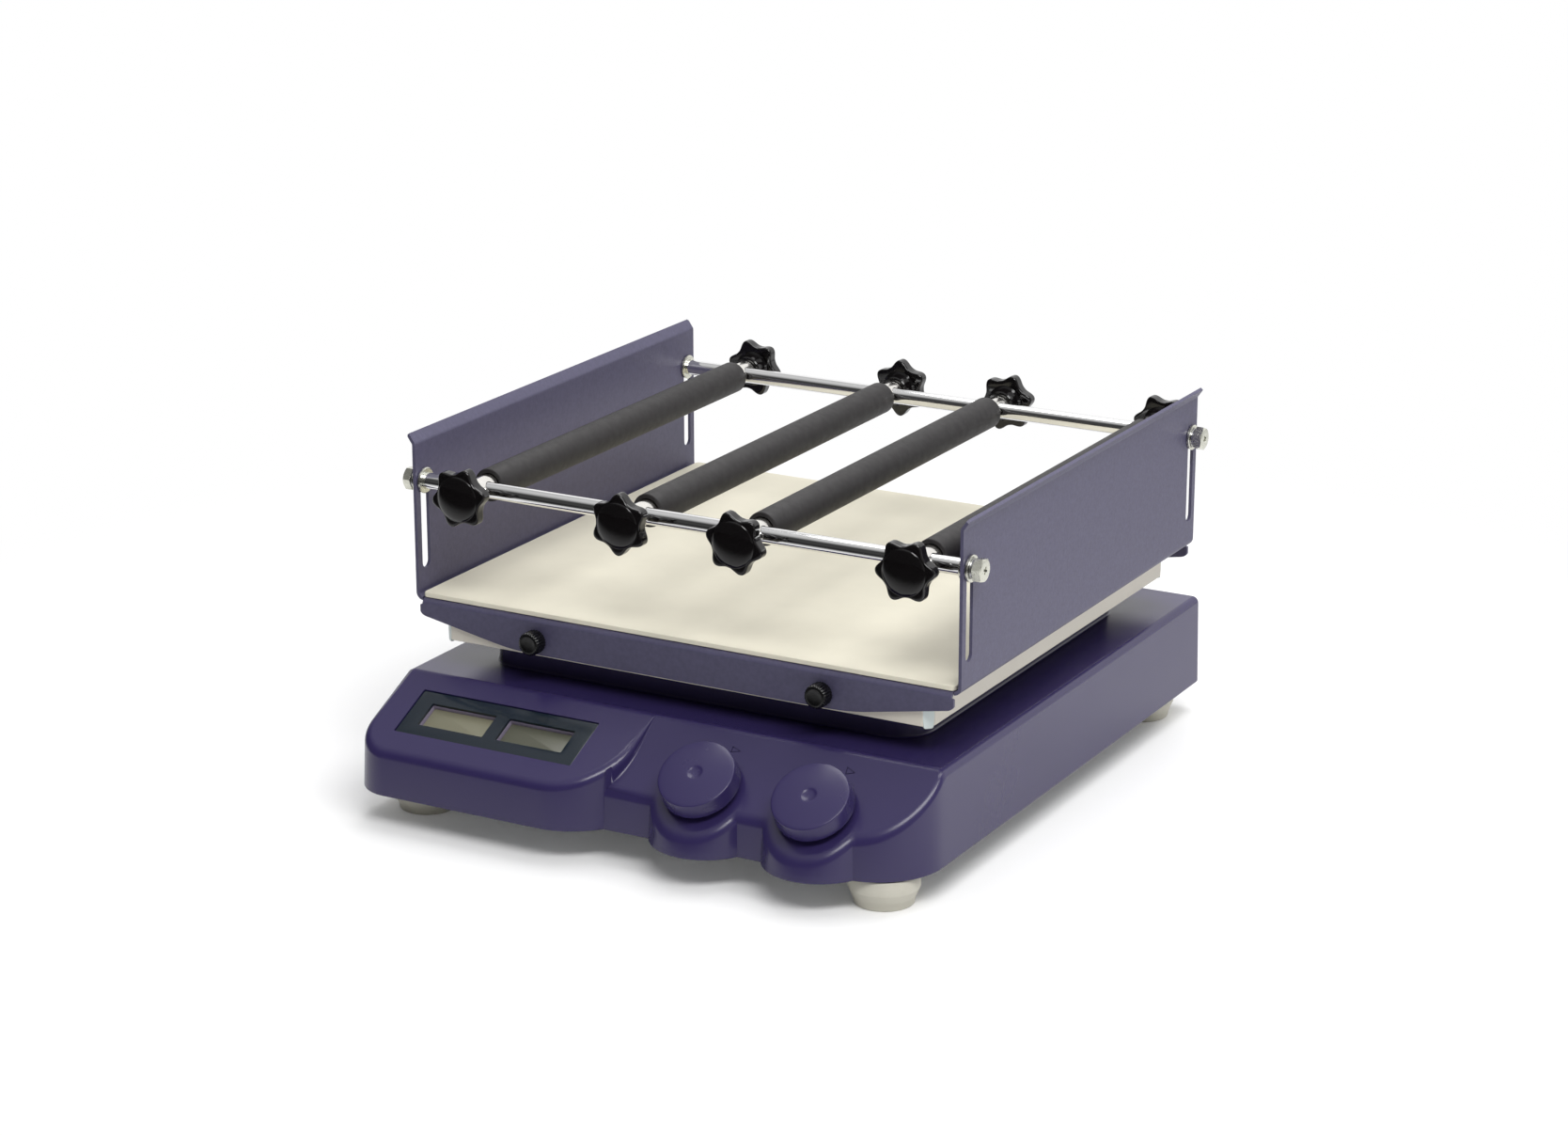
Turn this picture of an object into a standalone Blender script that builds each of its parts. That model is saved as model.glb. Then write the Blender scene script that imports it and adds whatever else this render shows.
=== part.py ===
"""Rotator shaker: a bench-top orbital shaker with a clamp-bar tray, in metres, +Z up.

The front panel faces -Y and +X is to the right of someone who works at it. The origin is on the
bench under the middle of the whole machine. The platform is drawn at the rearmost point of its orbit.
"""
import math

import bmesh
import bpy
from mathutils import Matrix, Vector
from mathutils.geometry import delaunay_2d_cdt

for old in list(bpy.data.objects):
    bpy.data.objects.remove(old, do_unlink=True)

# Clearances
GAP = 0.0003              # between two pieces that touch
RUN = 0.0003              # between a shaft and its bore
SHEET = 0.002             # steel sheet of the platform, the tray and the base plate

# Size of the platform, which sets the size of the tray, the plinth and the housing
PLATFORM_SIZE = 0.3325

# Housing
LOBE_DEPTH = 0.0174       # how far the lobes stand in front of the plain front wall
PANEL_RUN = 0.0474        # plan depth of the panel, crease to plain front wall
HOUSING_BOTTOM = 0.0189
DECK_TOP = 0.077
WALL = 0.003
DRAFT = 0.0012
EDGE_RADIUS = 0.0045
KNOB_TILT = math.radians(36.0)
DISPLAY_TILT = math.radians(25.4)
REAR_CORNER = 0.020
FRONT_CORNER = 0.042
LEFT_CORNER = 0.025
DISPLAY_LOBE = 0.0445     # radius of the display field's free corner
LOBE_GAP = 0.017          # between the display lobe and the left knob's lobe
STEP_RUN = 0.0003         # plan width of the steep side of the display field
KNOB_LOBE = 0.034
KNOB_SIDE = 0.066         # right knob from the right side
KNOB_PITCH = 0.0745
KNOB_DOWN = 0.0425        # knob centre below the crease, along the slope

# Plinth and drive centre
PLINTH_PLAY_X = 0.01825   # plinth inside the platform's edge, more than the orbit needs
PLINTH_PLAY_Y = 0.02275
PLINTH_SIDE = 0.037       # deck beside the plinth
PLINTH_FRONT = 0.032      # deck between the crease and the plinth
PLINTH_REAR = 0.0497
PLINTH_HEIGHT = 0.020
PLINTH_CORNER = 0.022

# Feet and base plate
FOOT_RADIUS = 0.021
FOOT_TAPER = 0.84
FOOT_SIDE = 0.029         # foot centres from the sides, the front and the rear
FOOT_FRONT = 0.0254
FOOT_REAR = 0.0297
BOSS_SIDE = 0.019
BOSS_FRONT = 0.0479
BOSS_REAR = 0.0659
BOSS_RADIUS = 0.005

# Display
WINDOW_LEFT = 0.0225      # panel to the left and to the right of the window
WINDOW_RIGHT = 0.032
WINDOW_HEIGHT = 0.0365
WINDOW_THICK = 0.002
WINDOW_DOWN = 0.0333
WINDOW_LEDGE = 0.0035
CELL_SHARE = 0.371        # of the window's width
CELL_HEIGHT = 0.0186
PITCH_SHARE = 0.4452
BOARD_EDGE = 0.010        # board beyond the window's ends
BOARD_HEIGHT = 0.052

# Control knobs
KNOB_RADIUS = 0.0228
KNOB_FOOT_RADIUS = 0.0242
KNOB_HEIGHT = 0.0105
KNOB_TRAVEL = 0.0015
ENCODER_SIZE = 0.016
ENCODER_DEPTH = 0.009
BUSHING_RADIUS = 0.0045
SPINDLE_RADIUS = 0.003

# Drive
ORBIT = 0.005             # crank radius, half the orbit's diameter
IDLER_SIDE = 0.030        # idler shafts inside the plinth's sides and ends
IDLER_END = 0.0315
IDLER_WALL = 0.006
FRAME_EDGE_X = 0.014      # drive frame beyond the idler shafts
FRAME_EDGE_Y = 0.016
FRAME_Z = 0.058
FRAME_THICK = 0.003
LEG_SIZE = 0.012
LEG_EDGE = 0.010
LEG_SHARE = 0.469         # of the way to the frame's ends
SHAFT_RADIUS = 0.006
BEARING_WALL = 0.010
BEARING_FLANGE = 0.008
BEARING_DEPTH = 0.022
BEARING_TOP = 0.004
SHAFT_DEPTH = 0.026
PIN_RADIUS = 0.005
DISC_RADIUS = 0.018
DISC_THICK = 0.005
PIN_LENGTH = 0.0085
DRIVEN_RADIUS = 0.050
MOTOR_PULLEY_RADIUS = 0.0125
PULLEY_HEIGHT = 0.012
PULLEY_FLANGE = 0.0015
BELT_THICK = 0.002
MOTOR_SHARE = 0.7197      # of the way to the drive frame's left end
MOTOR_RADIUS = 0.031
MOTOR_SHAFT = 0.003
MOTOR_SHAFT_DEPTH = 0.018
WEIGHT_WIDTH = 0.0235
WEIGHT_HEIGHT = 0.006
IDLER_SHAFT = 0.005
IDLER_PIN = 0.004
IDLER_DISC = 0.013

# Power entry at the rear
INLET_SIDE = 0.103        # from the right side to the middle of the inlet
SWITCH_SIDE = 0.051
ENTRY_Z = 0.046
FLANGE_THICK = 0.0015
INLET_WIDTH = 0.050
INLET_HEIGHT = 0.027
INLET_BODY_WIDTH = 0.028
INLET_BODY_HEIGHT = 0.0205
INLET_BODY_CORNER = 0.0025
INLET_DEPTH = 0.020
SOCKET_WIDTH = 0.0245
SOCKET_HEIGHT = 0.0170
SOCKET_DEPTH = 0.0165
BLADE_PITCH = 0.007
BLADE_LENGTH = 0.004
SWITCH_WIDTH = 0.030
SWITCH_HEIGHT = 0.022
SWITCH_BODY_WIDTH = 0.0225
SWITCH_BODY_HEIGHT = 0.0165
SWITCH_DEPTH = 0.016
ROCKER_WIDTH = 0.0190
ROCKER_HEIGHT = 0.0130
ROCKER_THROW = math.radians(6.0)
SUPPLY_SIDE = 0.035       # the power supply's distance from the right side and the rear
SUPPLY_REAR = 0.034
SUPPLY_WIDTH = 0.100
SUPPLY_DEPTH = 0.070
SUPPLY_HEIGHT = 0.027

# Platform and tray
PLATFORM_TOP = 0.1164
PLATFORM_DEPTH = 0.022
PLATFORM_CHAMFER = 0.0057
TAB_EXTRA = 0.0015
TRAY_OVERHANG = 0.01915   # side walls beyond the platform
TRAY_WALL_TOP = 0.215
LIP = 0.006
LIP_ANGLE = math.radians(35.0)
TRAY_BEND = 0.003
APRON_DEPTH = 0.0208
APRON_END_DEPTH = 0.0086
APRON_TAPER = 0.067
APRON_INSET = 0.0039
MAT_THICK = 0.003
THUMB_SIDE = 0.0879       # thumb screws inside the side walls
THUMB_DROP = 0.0114
THUMB_RADIUS = 0.0073
THUMB_LENGTH = 0.0105
THUMB_SHANK = 0.0025

# Clamp bars
ROD_RADIUS = 0.005
ROD_Z = 0.1905
ROD_INSET = 0.009         # rod axis behind the wall's end
ROD_TRAVEL = 0.051
SLOT_WIDTH = 0.0083
COLLAR_RADIUS = 0.008
COLLAR_THICK = 0.0015
HEAD_FLATS = 0.013
CORE_RADIUS = 0.00725
CORE_PAST_ROD = 0.0098
SLEEVE_RADIUS = 0.0103
SLEEVE_BEHIND_ROD = 0.009
BAR_PLACES = (-0.7686, -0.1672, 0.2508, 0.8441)    # share of the way to the side wall
STAR_RADIUS = 0.019
STAR_VALLEY = 0.0150
STAR_THICK = 0.0115
STAR_HUB_RADIUS = 0.0095
STAR_HUB_LENGTH = 0.0072
STUD_RADIUS = 0.003
SCREW_RADIUS = 0.003
SCREW_LENGTH = 0.014
WASHER_THICK = 0.0016

# Derived places
PLINTH_WIDTH = PLATFORM_SIZE - 2 * PLINTH_PLAY_X
PLINTH_LENGTH = PLATFORM_SIZE - 2 * PLINTH_PLAY_Y
BASE_WIDTH = PLINTH_WIDTH + 2 * PLINTH_SIDE
HALF_WIDTH = BASE_WIDTH / 2
DECK_LENGTH = PLINTH_FRONT + PLINTH_LENGTH + PLINTH_REAR
LENGTH = LOBE_DEPTH + PANEL_RUN + DECK_LENGTH + GAP + FLANGE_THICK
KNOB_X = (HALF_WIDTH - KNOB_SIDE - KNOB_PITCH, HALF_WIDTH - KNOB_SIDE)
FIELD_RIGHT = KNOB_X[0] - KNOB_LOBE - LOBE_GAP
DISPLAY_LOBE_X = FIELD_RIGHT - DISPLAY_LOBE
WINDOW_WIDTH = FIELD_RIGHT + HALF_WIDTH - WINDOW_LEFT - WINDOW_RIGHT
WINDOW_X = WINDOW_LEFT + WINDOW_WIDTH / 2 - HALF_WIDTH
CELL_WIDTH = WINDOW_WIDTH * CELL_SHARE
CELL_PITCH = WINDOW_WIDTH * PITCH_SHARE
BOARD_WIDTH = WINDOW_WIDTH + 2 * BOARD_EDGE
FRONT_Y = -LENGTH / 2 + LOBE_DEPTH
REAR_Y = LENGTH / 2 - FLANGE_THICK - GAP
CREASE_Y = FRONT_Y + PANEL_RUN
PLINTH_TOP = DECK_TOP + PLINTH_HEIGHT
DRIVE_Y = CREASE_Y + PLINTH_FRONT + PLINTH_LENGTH / 2
IDLER_X = PLINTH_WIDTH / 2 - IDLER_SIDE
IDLER_Y = PLINTH_LENGTH / 2 - IDLER_END
FRAME_HALF_X = IDLER_X + FRAME_EDGE_X
FRAME_HALF_Y = IDLER_Y + FRAME_EDGE_Y
LEG_X = FRAME_HALF_X - LEG_EDGE
MOTOR_X = -FRAME_HALF_X * MOTOR_SHARE
LEG_Y = FRAME_HALF_Y * LEG_SHARE
INLET_X = HALF_WIDTH - INLET_SIDE
SWITCH_X = HALF_WIDTH - SWITCH_SIDE
SUPPLY_X = HALF_WIDTH - SUPPLY_SIDE - SUPPLY_WIDTH
SUPPLY_Y = REAR_Y - SUPPLY_REAR - SUPPLY_DEPTH
DROP = WALL / math.cos(KNOB_TILT)
PLATE_TOP = HOUSING_BOTTOM + SHEET
DISC_Z = PLINTH_TOP + 0.0013
PIN_Z = DISC_Z + DISC_THICK
PIN_TOP = PIN_Z + PIN_LENGTH
TRAY_Y = DRIVE_Y + ORBIT
TRAY_WIDTH = PLATFORM_SIZE + 2 * TRAY_OVERHANG
TRAY_LENGTH = PLATFORM_SIZE + 2 * GAP
THUMB_X = TRAY_WIDTH / 2 - THUMB_SIDE
BAR_X = [share * TRAY_WIDTH / 2 for share in BAR_PLACES]
FLOOR_Z = PLATFORM_TOP + GAP
FLOOR_TOP = FLOOR_Z + SHEET
ROD_OFFSET = TRAY_LENGTH / 2 - ROD_INSET
PULLEY_Z = FRAME_Z + FRAME_THICK + 0.0068
PULLEY_TOP = PULLEY_Z + PULLEY_HEIGHT
THUMB_Z = PLATFORM_TOP - THUMB_DROP
X_AXIS = Matrix.Rotation(math.radians(90.0), 4, "Y")
Y_AXIS = Matrix.Rotation(math.radians(-90.0), 4, "X")


def paint(name, colour, roughness, metallic=0.0):
    """A plain material of one colour."""
    shade = bpy.data.materials.new(name)
    shade.use_nodes = True
    core = shade.node_tree.nodes["Principled BSDF"]
    core.inputs["Base Color"].default_value = (*colour, 1.0)
    core.inputs["Roughness"].default_value = roughness
    core.inputs["Metallic"].default_value = metallic
    return shade


def solid(name, bm, shade, smooth=True):
    """Turn a bmesh into a finished object with its faces out."""
    bmesh.ops.remove_doubles(bm, verts=bm.verts, dist=1e-6)
    bmesh.ops.recalc_face_normals(bm, faces=bm.faces)
    mesh = bpy.data.meshes.new(name)
    bm.to_mesh(mesh)
    bm.free()
    obj = bpy.data.objects.new(name, mesh)
    bpy.context.collection.objects.link(obj)
    if shade is not None:
        mesh.materials.append(shade)
    if smooth:
        mesh.shade_smooth()
        mesh.set_sharp_from_angle(angle=math.radians(32.0))
    return obj


def guide(obj):
    """Mark an object as a cutter or a shape to be joined."""
    obj.hide_render = True
    obj.display_type = "WIRE"
    return obj


def combine(obj, other, operation):
    step = obj.modifiers.new(other.name, "BOOLEAN")
    step.operation = operation
    step.solver = "EXACT"
    step.object = guide(other)
    return obj


def cut(obj, *others):
    for other in others:
        combine(obj, other, "DIFFERENCE")
    return obj


def join(obj, *others):
    for other in others:
        combine(obj, other, "UNION")
    return obj


def settle(obj):
    """Keep the shape that the modifiers make, for a mesh that several objects share."""
    bpy.context.view_layer.update()
    graph = bpy.context.evaluated_depsgraph_get()
    mesh = bpy.data.meshes.new_from_object(obj.evaluated_get(graph), depsgraph=graph)
    obj.modifiers.clear()
    obj.data = mesh
    mesh.shade_smooth()
    mesh.set_sharp_from_angle(angle=math.radians(32.0))
    return obj


def bridge(bm, ring_a, ring_b):
    count = len(ring_a)
    for i in range(count):
        j = (i + 1) % count
        bm.faces.new((ring_a[i], ring_a[j], ring_b[j], ring_b[i]))


def stack(rings, matrix=None):
    """A solid from rings of equally many points, capped at both ends."""
    bm = bmesh.new()
    loops = [[bm.verts.new(p) for p in ring] for ring in rings]
    for lower, upper in zip(loops, loops[1:]):
        bridge(bm, lower, upper)
    bm.faces.new(loops[0][::-1])
    bm.faces.new(loops[-1])
    if matrix is not None:
        bm.transform(matrix)
    return bm


def circle(radius, z, count=20, x=0.0, y=0.0):
    steps = [2 * math.pi * i / count for i in range(count)]
    return [(x + radius * math.cos(a), y + radius * math.sin(a), z) for a in steps]


def turned(profile, count=20, matrix=None):
    """A turned solid from (radius, height) pairs, capped flat at both ends."""
    return stack([circle(r, z, count) for r, z in profile], matrix)


def tube(outer, inner, z0, z1, count=16, matrix=None):
    """A plain tube along Z."""
    bm = bmesh.new()
    rings = [circle(outer, z0, count), circle(outer, z1, count)]
    rings += [circle(inner, z1, count), circle(inner, z0, count)]
    loops = [[bm.verts.new(p) for p in ring] for ring in rings]
    for i in range(4):
        bridge(bm, loops[i], loops[(i + 1) % 4])
    if matrix is not None:
        bm.transform(matrix)
    return bm


def prism(outline, z0, z1, matrix=None):
    return stack([[(x, y, z0) for x, y in outline], [(x, y, z1) for x, y in outline]], matrix)


def box(low, high, matrix=None):
    outline = [(low[0], low[1]), (high[0], low[1]), (high[0], high[1]), (low[0], high[1])]
    return prism(outline, low[2], high[2], matrix)


def arc(cx, cy, radius, start, end, count):
    """Points on an arc, angles in degrees."""
    steps = [math.radians(start + (end - start) * i / count) for i in range(count + 1)]
    return [(cx + radius * math.cos(a), cy + radius * math.sin(a)) for a in steps]


def rounded(width, height, radius, count=4, x=0.0, y=0.0):
    """A rectangle with round corners, counter-clockwise."""
    w = width / 2 - radius
    h = height / 2 - radius
    points = arc(x + w, y + h, radius, 0, 90, count) + arc(x - w, y + h, radius, 90, 180, count)
    points += arc(x - w, y - h, radius, 180, 270, count) + arc(x + w, y - h, radius, 270, 360, count)
    return points


def fused(name, parts, shade, smooth=True):
    """One solid from overlapping parts."""
    first = solid(name, parts[0], shade, smooth)
    for index, part in enumerate(parts[1:]):
        join(first, solid(name + "_add" + str(index + 1), part, None))
    return first


def hang(obj, pivot):
    """Parent a piece to its joint's empty without moving it."""
    obj.parent = pivot
    obj.matrix_parent_inverse = Matrix.Translation(pivot.location).inverted()
    return obj


def empty(name, location):
    pivot = bpy.data.objects.new(name, None)
    pivot.location = location
    pivot.empty_display_size = 0.02
    bpy.context.collection.objects.link(pivot)
    return pivot


def panel_frame(x, down, tilt):
    """Where a point of the sloping panel is, with local +Z out of it and +Y up the slope."""
    place = Matrix.Translation((x, CREASE_Y - down * math.cos(tilt), DECK_TOP - down * math.sin(tilt)))
    return place @ Matrix.Rotation(tilt, 4, "X")


# Materials, from the photograph
BLUE = paint("housing_blue", (0.070, 0.062, 0.150), 0.38)
KNOB_BLUE = paint("knob_blue", (0.052, 0.042, 0.135), 0.35)
TRAY_BLUE = paint("tray_blue", (0.085, 0.080, 0.165), 0.48)
CREAM = paint("platform_cream", (0.66, 0.63, 0.55), 0.45)
MAT_WHITE = paint("mat_white", (0.78, 0.76, 0.66), 0.75)
FOOT_GREY = paint("foot_grey", (0.50, 0.50, 0.42), 0.6)
GLASS = paint("window_glass", (0.02, 0.04, 0.06), 0.12)
LCD = paint("display_grey", (0.28, 0.29, 0.21), 0.3)
BOARD = paint("board_green", (0.03, 0.16, 0.07), 0.5)
STEEL = paint("steel", (0.55, 0.55, 0.56), 0.35, 1.0)
ZINC = paint("zinc", (0.66, 0.65, 0.55), 0.3, 1.0)
CHROME = paint("chrome", (0.80, 0.80, 0.80), 0.08, 1.0)
CAST = paint("cast_aluminium", (0.50, 0.50, 0.50), 0.5, 1.0)
BLACK = paint("black_plastic", (0.012, 0.012, 0.012), 0.2)
RUBBER = paint("black_rubber", (0.020, 0.020, 0.022), 0.75)
FOAM = paint("grey_foam", (0.050, 0.048, 0.050), 0.85)


# Housing form
ARC_STEPS = 5


def slope(y, tilt, drop):
    """Height of the deck and the panel that falls away in front of the crease."""
    return DECK_TOP - drop - max(0.0, CREASE_Y - y) * math.tan(tilt)


def outline(inset, low_radius):
    """The housing's plan, clockwise, with the free side of the display field before it.

    Each point is (x, y, tilt). The count is the same for every inset.
    """
    half = HALF_WIDTH
    nose = -LENGTH / 2
    flat = FRONT_Y + inset
    points = []

    def add(cx, cy, radius, start, end, tilt, skip=0):
        for x, y in arc(cx, cy, radius - inset, start, end, ARC_STEPS)[skip:]:
            points.append((x, y, tilt))

    display_y = nose + DISPLAY_LOBE
    foot = math.degrees(math.asin((flat - display_y) / (DISPLAY_LOBE - inset)))
    points.append((DISPLAY_LOBE_X + DISPLAY_LOBE - inset, CREASE_Y, DISPLAY_TILT))
    add(DISPLAY_LOBE_X, display_y, DISPLAY_LOBE, 0, foot, DISPLAY_TILT)
    corner = len(points) - 1
    add(DISPLAY_LOBE_X, display_y, DISPLAY_LOBE, foot, -90, DISPLAY_TILT, 1)
    add(-half + LEFT_CORNER, nose + LEFT_CORNER, LEFT_CORNER, -90, -180, DISPLAY_TILT)
    points.append((-half + inset, CREASE_Y, DISPLAY_TILT))
    left = len(points) - 1
    add(-half + REAR_CORNER, REAR_Y - REAR_CORNER, REAR_CORNER, 180, 90, DISPLAY_TILT)
    add(half - REAR_CORNER, REAR_Y - REAR_CORNER, REAR_CORNER, 90, 0, KNOB_TILT)
    points.append((half - inset, CREASE_Y, KNOB_TILT))
    right = len(points) - 1
    lobe_y = nose + KNOB_LOBE
    radius = KNOB_LOBE - inset
    turn = FRONT_CORNER - inset
    gap = Vector((half - FRONT_CORNER - KNOB_X[1], FRONT_Y + FRONT_CORNER - lobe_y))
    along = (gap.length_squared + radius ** 2 - turn ** 2) / (2 * gap.length)
    across = math.sqrt(max(radius ** 2 - along ** 2, 0.0))
    way = gap.normalized()
    meet = Vector((KNOB_X[1], lobe_y)) + way * along + Vector((way.y, -way.x)) * across
    from_turn = math.degrees(math.atan2(meet.y - FRONT_Y - FRONT_CORNER, meet.x - half + FRONT_CORNER))
    from_lobe = math.degrees(math.atan2(meet.y - lobe_y, meet.x - KNOB_X[1]))
    add(half - FRONT_CORNER, FRONT_Y + FRONT_CORNER, FRONT_CORNER, 0, from_turn, KNOB_TILT)
    side = math.degrees(math.asin((flat - lobe_y) / radius))
    add(KNOB_X[1], lobe_y, KNOB_LOBE, from_lobe, -180 - side, KNOB_TILT, 1)
    add(KNOB_X[0], lobe_y, KNOB_LOBE, side, -180 - side, KNOB_TILT)
    end = DISPLAY_LOBE_X + math.sqrt(low_radius ** 2 - (flat - display_y) ** 2)
    points.append((end, flat, KNOB_TILT))
    return points, corner, left, right


def housing_form(name, inset, drop, fillet, floor, shade=None):
    """The housing's outer form, or the room inside it, as one closed solid."""
    low_radius = DISPLAY_LOBE - inset - DRAFT + STEP_RUN
    turns = [math.radians(30.0 * i) for i in range(4)]
    insets = [(fillet * (1 - math.cos(a)), fillet * (1 - math.sin(a))) for a in turns]
    flat_points = []
    heights = []
    edges = []

    def put(x, y, z):
        flat_points.append(Vector((x, y)))
        heights.append(z)
        return len(flat_points) - 1

    rows = []
    for k, (step, fall) in enumerate(insets):
        points, corner, left, right = outline(inset + DRAFT + step, low_radius)
        row = []
        for i, (x, y, tilt) in enumerate(points):
            z = slope(y, tilt, drop) - fall
            if i <= corner:
                z = max(z, slope(y, KNOB_TILT, drop))
            row.append(put(x, y, z))
        rows.append(row)
        edges += list(zip(row, row[1:]))
    for outer, inner in zip(rows, rows[1:]):
        edges += list(zip(outer, inner))
    edges.append((rows[0][-1], rows[0][corner]))
    foot_line = [row[-1] for row in rows]
    display_y = -LENGTH / 2 + DISPLAY_LOBE
    last = flat_points[foot_line[-1]]
    begin = math.degrees(math.atan2(last.y - display_y, last.x - DISPLAY_LOBE_X))
    for x, y in arc(DISPLAY_LOBE_X, display_y, low_radius, begin, 0, ARC_STEPS)[1:]:
        foot_line.append(put(x, y, slope(y, KNOB_TILT, drop)))
    foot_line.append(put(DISPLAY_LOBE_X + low_radius, CREASE_Y, slope(CREASE_Y, KNOB_TILT, drop)))
    edges += list(zip(foot_line, foot_line[1:]))
    crease = [rows[-1][left]] + [row[0] for row in rows[::-1]] + [foot_line[-1], rows[-1][right]]
    edges += list(zip(crease, crease[1:]))

    # The plinth: a steep side, then the same kind of rounded edge
    plinth = [(0.0, DECK_TOP - drop), (0.001, PLINTH_TOP - drop - fillet)]
    plinth += [(0.001 + step, PLINTH_TOP - drop - fall) for step, fall in insets[1:]]
    loops = []
    for step, z in plinth:
        size = (PLINTH_WIDTH - 2 * (inset + step), PLINTH_LENGTH - 2 * (inset + step))
        ring = rounded(*size, PLINTH_CORNER - inset * 0.5 - step, 4, 0.0, DRIVE_Y)
        loops.append([put(x, y, z) for x, y in ring])
    for loop in loops:
        edges += [(loop[i], loop[(i + 1) % len(loop)]) for i in range(len(loop))]
    for outer, inner in zip(loops, loops[1:]):
        edges += list(zip(outer, inner))

    rim = rows[0][corner:]
    points, _, faces, origins, _, _ = delaunay_2d_cdt(flat_points, edges, [rim], 1, 1e-7)
    bm = bmesh.new()
    top = []
    for point, origin in zip(points, origins):
        z = max(heights[i] for i in origin) if origin else slope(point.y, KNOB_TILT, drop)
        top.append(bm.verts.new((point.x, point.y, z)))
    where = {i: new for new, origin in enumerate(origins) for i in origin}
    for face in faces:
        bm.faces.new([top[i] for i in face])
    base, corner, left, right = outline(inset, DISPLAY_LOBE - inset + STEP_RUN)
    low = [bm.verts.new((x, y, floor)) for x, y, tilt in base[corner:]]
    high = [top[where[i]] for i in rim]
    bridge(bm, low, high)
    bm.faces.new(low)
    return solid(name, bm, shade)


top_cover = housing_form("top_cover", 0.0, 0.0, EDGE_RADIUS, HOUSING_BOTTOM, BLUE)
room = housing_form("cover_room", WALL, DROP, 0.0015, HOUSING_BOTTOM - 0.004)
cut(top_cover, room)
BOSS_TOP = DECK_TOP - DROP * 0.5
for i, x in enumerate((BOSS_SIDE - HALF_WIDTH, HALF_WIDTH - BOSS_SIDE)):
    for j, y in enumerate((CREASE_Y + BOSS_FRONT, REAR_Y - BOSS_REAR)):
        post = stack([circle(BOSS_RADIUS, z, 8, x, y) for z in (PLATE_TOP + GAP, BOSS_TOP)])
        join(top_cover, solid("cover_boss" + str(2 * i + j), post, None))

DISPLAY = panel_frame(WINDOW_X, WINDOW_DOWN, DISPLAY_TILT)
recess = (WINDOW_WIDTH + 2 * GAP, WINDOW_HEIGHT + 2 * GAP, 0.0012)
SINK = WINDOW_THICK + 2 * GAP
cut(top_cover, solid("cover_window_recess", prism(rounded(*recess), -SINK, 0.004, DISPLAY), None))
through = (WINDOW_WIDTH - 2 * WINDOW_LEDGE, WINDOW_HEIGHT - 2 * WINDOW_LEDGE, 0.001)
cut(top_cover, solid("cover_window_hole", prism(rounded(*through), -0.012, 0.001, DISPLAY), None))

KNOBS = [panel_frame(x, KNOB_DOWN, KNOB_TILT) for x in KNOB_X]
for side, frame in zip(("speed", "time"), KNOBS):
    hole = turned([(BUSHING_RADIUS + GAP, -0.010), (BUSHING_RADIUS + GAP, 0.005)], 16, frame)
    cut(top_cover, solid("cover_hole_" + side, hole, None))

SHAFTS = [(0.0, DRIVE_Y, SHAFT_RADIUS)]
for x in (-IDLER_X, IDLER_X):
    for y in (DRIVE_Y - IDLER_Y, DRIVE_Y + IDLER_Y):
        SHAFTS.append((x, y, IDLER_SHAFT))
for i, (x, y, radius) in enumerate(SHAFTS):
    reach = (PLINTH_TOP - 0.012, PLINTH_TOP + 0.004)
    hole = stack([circle(radius + 0.0015, z, 12, x, y) for z in reach])
    cut(top_cover, solid("cover_shaft_hole" + str(i), hole, None))

ENTRY = Matrix.Translation((0.0, REAR_Y, ENTRY_Z)) @ Matrix.Rotation(math.radians(-90.0), 4, "X")
INLET_BODY = (INLET_BODY_WIDTH, INLET_BODY_HEIGHT, INLET_BODY_CORNER)
SWITCH_BODY = (SWITCH_BODY_WIDTH, SWITCH_BODY_HEIGHT, 0.0010)
for x, size, label in ((INLET_X, INLET_BODY, "inlet"), (SWITCH_X, SWITCH_BODY, "switch")):
    grown = (size[0] + 2 * GAP, size[1] + 2 * GAP, size[2])
    cut(top_cover, solid("cover_cut_" + label, prism(rounded(*grown, 4, x), -0.012, 0.004, ENTRY), None))

# Base plate and feet
plate_plan, _corner, _l, _r = outline(WALL + DRAFT + GAP, DISPLAY_LOBE - WALL - DRAFT - GAP + STEP_RUN)
plate_points = [(x, y) for x, y, tilt in plate_plan[_corner:]]
base_plate = solid("base_plate", prism(plate_points, HOUSING_BOTTOM, PLATE_TOP), STEEL, False)

CORNERS = (("front_left", -1, -1), ("front_right", 1, -1), ("rear_left", -1, 1), ("rear_right", 1, 1))
FOOT_TOP = HOUSING_BOTTOM - GAP
foot_mesh = None
for label, sx, sy in CORNERS:
    x = sx * (HALF_WIDTH - FOOT_SIDE)
    y = FRONT_Y + FOOT_FRONT if sy < 0 else REAR_Y - FOOT_REAR
    if foot_mesh is None:
        low = FOOT_RADIUS * FOOT_TAPER
        profile = [(low - 0.0015, 0.0), (low, 0.0012)]
        profile += [(FOOT_RADIUS, FOOT_TOP * 0.45), (FOOT_RADIUS, FOOT_TOP)]
        foot = solid("foot_" + label, turned(profile, 20), FOOT_GREY)
        foot_mesh = foot.data
    else:
        foot = bpy.data.objects.new("foot_" + label, foot_mesh)
        bpy.context.collection.objects.link(foot)
    foot.location = (x, y, 0.0)

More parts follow.
